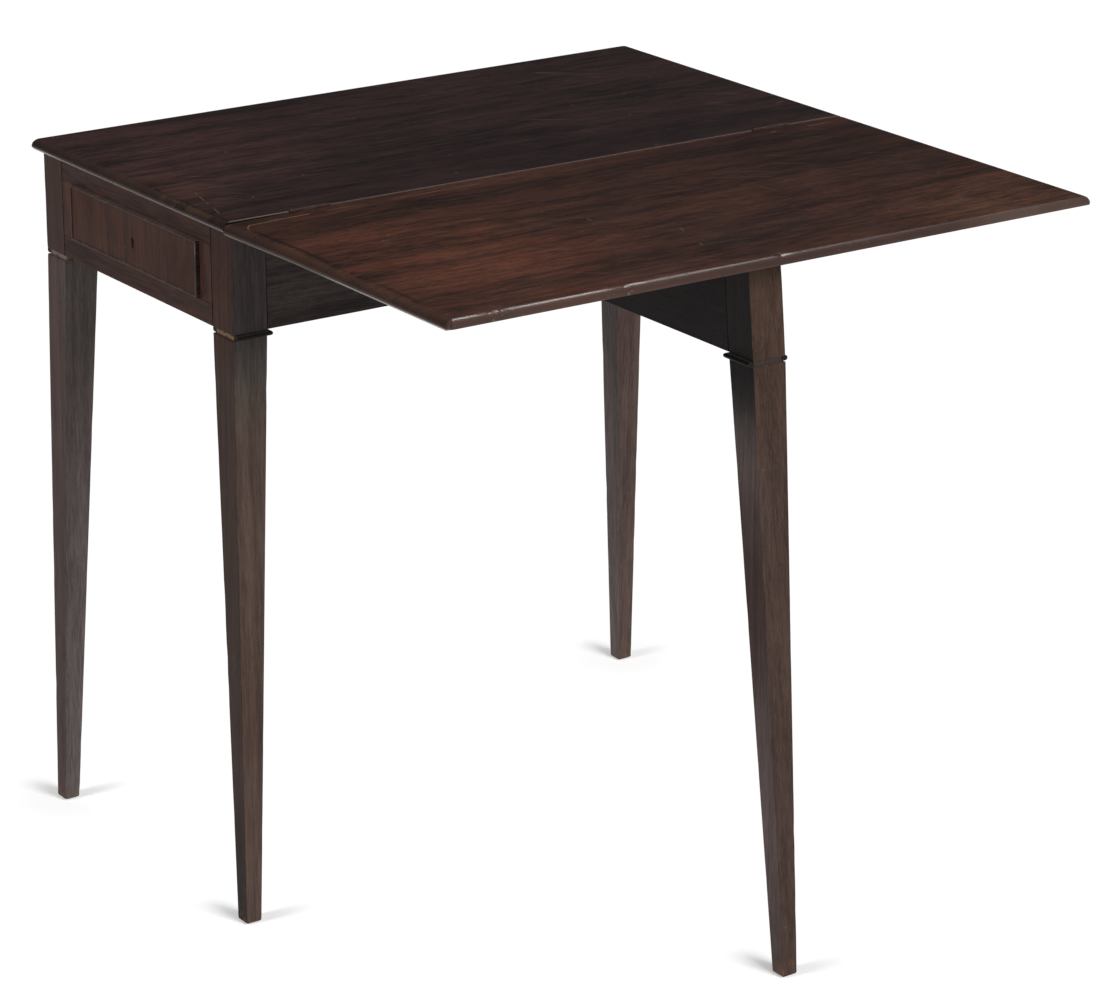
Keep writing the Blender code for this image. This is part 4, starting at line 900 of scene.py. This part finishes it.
# Each leg's face gains are painted light and shade: greyer, brighter or darker faces, the leaf's shadow.
LEG_FINISHES = {
    "leg_back_left": ((0.3, 0.9, 0.2), (
        face_light_and_shade((1.42, 1.86, 2.22), (1.04, 1.08, 1.2), (0.95, 0.99, 1.01), (0.63, 0.52, 0.50)),
        joint_dirt, raw_groove((0.24, 0.185, 0.15), 0.9))),
    "leg_front_left": ((1.7, 0.4, 0.8), (
        face_light_and_shade((0.97, 1.02, 1.05), (0.58, 0.55, 0.53), (0.82, 1.04, 1.26), (0.46, 0.28, 0.22), 0.10),
        # Painted light and shade up the leg's side and front, lighter where the leaf's shadow ends.
        leg_light_and_polish_patch("leg_front_left", "side", 0.655, 0.05, (1.2, 1.08, 1.0)),
        leg_light_and_polish_patch("leg_front_left", "side", 0.59, 0.08, (1.3, 1.6, 1.75)),
        leg_light_and_polish_patch("leg_front_left", "side", 0.05, 0.12, (0.58, 0.52, 0.52)),
        leg_light_and_polish_patch("leg_front_left", "front", 0.56, 0.09, (1.3, 1.45, 1.4)),
        leg_light_and_polish_patch("leg_front_left", "front", 0.22, 0.16, (0.86, 0.84, 0.81)),
        raw_groove((0.27, 0.172, 0.100), 0.9))),
    "leg_back_right": ((2.3, 1.1, 0.5), (
        face_light_and_shade((1.08, 1.16, 1.25), (2.05, 2.65, 3.2), (1.05, 1.12, 1.2), (1.05, 1.12, 1.2)),
        raw_groove((0.2, 0.13, 0.08), 0.8))),
    "gate_leg": ((0.9, 2.2, 1.4), (
        face_light_and_shade((0.63, 0.63, 0.64), (1.03, 1.16, 1.30), (0.61, 0.59, 0.55), (0.46, 0.64, 0.76), 0.09),
        # Painted shadow of the leaf just under the bead, and a painted highlight below it.
        leg_light_and_polish_patch("gate_leg", "side", 0.585, 0.05, (0.6, 0.6, 0.62)),
        leg_light_and_polish_patch("gate_leg", "side", 0.53, 0.09, (1.3, 1.4, 1.45)),
        # Darker, then lighter lower down: partly uneven polish, partly painted light.
        leg_light_and_polish_patch("gate_leg", "side", 0.385, 0.12, (0.70, 0.60, 0.56)),
        leg_light_and_polish_patch("gate_leg", "side", 0.16, 0.16, (1.55, 1.6, 1.7)),
        raw_groove((0.034, 0.031, 0.027), 0.85))),
}
for number, (node, (offset, layers)) in enumerate(LEG_FINISHES.items()):
    wood = mahogany(
        node + "_wood", "z", LEG_DARK, LEG_LIGHT, offset, spread=0.7, amount=0.3, gloss=0.45, pores=0.2,
        edge=LEG_EDGE, specks=0.1, layers=(*layers, scuffed_foot),
    )
    eased_piece(node, wood, 0.0007, axis=2, step=0.016, depth=0.0008, seed=5.0 * number, foot=0.0034)

# %% [markdown]
# ## Beads round the legs
# A thin strip of black-stained wood is let into each leg just under the frieze. It is so small that a fine
# easing of its edges is enough, without knocks.

# %% Beads round the legs
bead_wood = mahogany(
    "bead_wood", "x", (0.007, 0.0067, 0.0062), (0.022, 0.019, 0.017), (0.0, 0.0, 0.0), amount=0.5, gloss=0.45
)
for node in ("collar_back_left", "collar_front_left", "collar_back_right", "collar_gate"):
    eased_piece(node, bead_wood, 0.0003)

# %% [markdown]
# ## Rails
# The frieze is made of plain rails. Those along the table have their grain along X, and those across the
# drawer end along Y. Dirt and old wax have settled in their joints, so their eased edges are dark, not bare.
# They could all share one wood, but the front one and the gate's, under the open leaf, get greyer and
# darker tones, which are painted shade.

# %% Rails
FINE_EASING = 0.0002
FRIEZE_DARK, FRIEZE_LIGHT = (0.013, 0.0047, 0.0033), (0.084, 0.0325, 0.0225)
# The SHADED tones and the gate rail's tones are greyer and darker: painted shade from the open leaf.
SHADED_DARK, SHADED_LIGHT = (0.021, 0.0157, 0.0143), (0.090, 0.0685, 0.0635)
STILE_DARK, STILE_LIGHT = (0.019, 0.0070, 0.0049), (0.118, 0.046, 0.0325)
SHADED_GATE_RAIL_DARK, SHADED_GATE_RAIL_LIGHT = (0.016, 0.0130, 0.0122), (0.043, 0.035, 0.033)
shaded_rail_wood = mahogany(
    "shaded_front_rail_wood", "x", SHADED_DARK, SHADED_LIGHT, (0.2, 1.3, 0.6), gloss=0.45, edge=DIRT
)
back_rail_wood = mahogany(
    "back_rail_wood", "x", FRIEZE_DARK, FRIEZE_LIGHT, (1.1, 0.3, 0.9), gloss=0.45, edge=DIRT
)
rail_y_wood = mahogany(
    "end_rail_wood", "y", FRIEZE_DARK, FRIEZE_LIGHT, (0.5, 0.1, 1.6), gloss=0.42, edge=DIRT
)
gate_rail_wood = mahogany(
    "gate_rail_wood", "y", SHADED_GATE_RAIL_DARK, SHADED_GATE_RAIL_LIGHT, (1.5, 0.7, 0.3), gloss=0.45, edge=DIRT
)
stile_wood = mahogany("stile_wood", "z", STILE_DARK, STILE_LIGHT, (0.9, 0.6, 1.9), gloss=0.42, edge=DIRT)
eased_piece("back_rail", back_rail_wood, axis=0)
eased_piece("outer_front_rail", shaded_rail_wood, axis=0)
eased_piece("right_end_rail", rail_y_wood, axis=1)
eased_piece("drawer_upper_rail", rail_y_wood, FINE_EASING)
eased_piece("drawer_lower_rail", rail_y_wood, FINE_EASING)
eased_piece("gate_rail", gate_rail_wood)
eased_piece("drawer_stile_front", stile_wood, FINE_EASING)
eased_piece("drawer_stile_back", stile_wood, FINE_EASING)

# %% [markdown]
# ## Drawer
# The drawer's front is veneered with its grain upright, and a thin bead runs all round it. The veneer has
# cracked above the keyhole, as it often does when the wood behind it shrinks. A chip in one bead is a broken
# pale line. Both could be cut into the mesh, but at this size only their tone is seen.

# %% Drawer
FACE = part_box("drawer_front")[0].x
KEYHOLE = (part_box("keyhole_liner")[0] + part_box("keyhole_liner")[1]) / 2
crack_foot = (FACE, KEYHOLE.y, KEYHOLE.z + 0.004)
crack_head = (FACE, KEYHOLE.y - 0.0015, KEYHOLE.z + 0.015)
front_wood = mahogany(
    "drawer_front_wood", "z", (0.024, 0.0080, 0.0047), (0.091, 0.0300, 0.0178), (0.4, 1.8, 0.7), gloss=0.42,
    edge=DIRT, layers=(mark(crack_foot, crack_head, 0.0009, SOOT_AND_SHADE, 0.8),),
)
bead_low, bead_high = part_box("drawer_bead_front")
chip_y = (bead_low.y + bead_high.y) / 2
chip_foot, chip_head = (bead_low.x, chip_y, bead_high.z - 0.010), (bead_low.x, chip_y, bead_high.z)
chip = mark(chip_foot, chip_head, 0.0024, PALE_WEAR_AND_GLINT, 0.9, 600.0)
drawer_bead_wood = mahogany(
    "drawer_bead_wood", "x", (0.048, 0.035, 0.030), (0.112, 0.085, 0.075), (0.2, 0.4, 0.3), amount=0.6,
    gloss=0.4, layers=(chip,),
)
eased_piece("drawer_front", front_wood, 0.0003)
for node in ("drawer_bead_top", "drawer_bead_bottom", "drawer_bead_front", "drawer_bead_back"):
    eased_piece(node, drawer_bead_wood, FINE_EASING)

# %% [markdown]
# ## Hidden woods and metals
# What the closed table hides is left as the solids give it, with its own finishes: pale oak linings, dull
# brass and dark iron. They are seen only when something is opened, so they get a tone and a roughness that
# vary a little, and no wear of their own.

# %% Hidden woods and metals
oak, tree, shader = new_material("oak_lining")
place = put(tree, "ShaderNodeTexCoord").outputs["Object"]
wood = placed_group(tree, figure, Vector=place)
colour = tinted(tree, wood["Band"], (0.20, 0.125, 0.066, 1.0), (0.36, 0.24, 0.135, 1.0))
colour = laid_over(tree, wood["Pore"], 0.6, colour, (0.09, 0.05, 0.026))
tree.links.new(colour, shader.inputs["Base Color"])
tree.links.new(sum_of(tree, "MULTIPLY_ADD", wood["Fleck"], 0.2, 0.5), shader.inputs["Roughness"])


def old_metal(name, bright, dull_tone, roughness, bare, shine=0.5):
    """A metal under old polish and dirt. Bare is how much of it still shows as metal."""
    material, tree, shader = new_material(name)
    place = put(tree, "ShaderNodeTexCoord").outputs["Object"]
    spots = fade(tree, drawn_noise(tree, place, (320.0, 320.0, 320.0), 4.0), 0.35, 0.62)
    tree.links.new(tinted(tree, spots, (*bright, 1.0), (*dull_tone, 1.0)), shader.inputs["Base Color"])
    tree.links.new(sum_of(tree, "MULTIPLY_ADD", spots, 0.25, roughness), shader.inputs["Roughness"])
    shader.inputs["Metallic"].default_value = bare
    shader.inputs["Specular IOR Level"].default_value = shine
    return material


finishes = {
    "oak": oak,
    "brass": old_metal("stained_brass", (0.066, 0.043, 0.036), (0.044, 0.029, 0.024), 0.6, 0.0, 0.1),
    "iron": old_metal("dark_iron", (0.09, 0.08, 0.075), (0.035, 0.028, 0.024), 0.5, 1.0),
}
for node, solid in frame["nodes"].items():
    if solid.hide_render:
        continue
    solid.data.materials.clear()
    solid.data.materials.append(finishes[slot_of[node]])
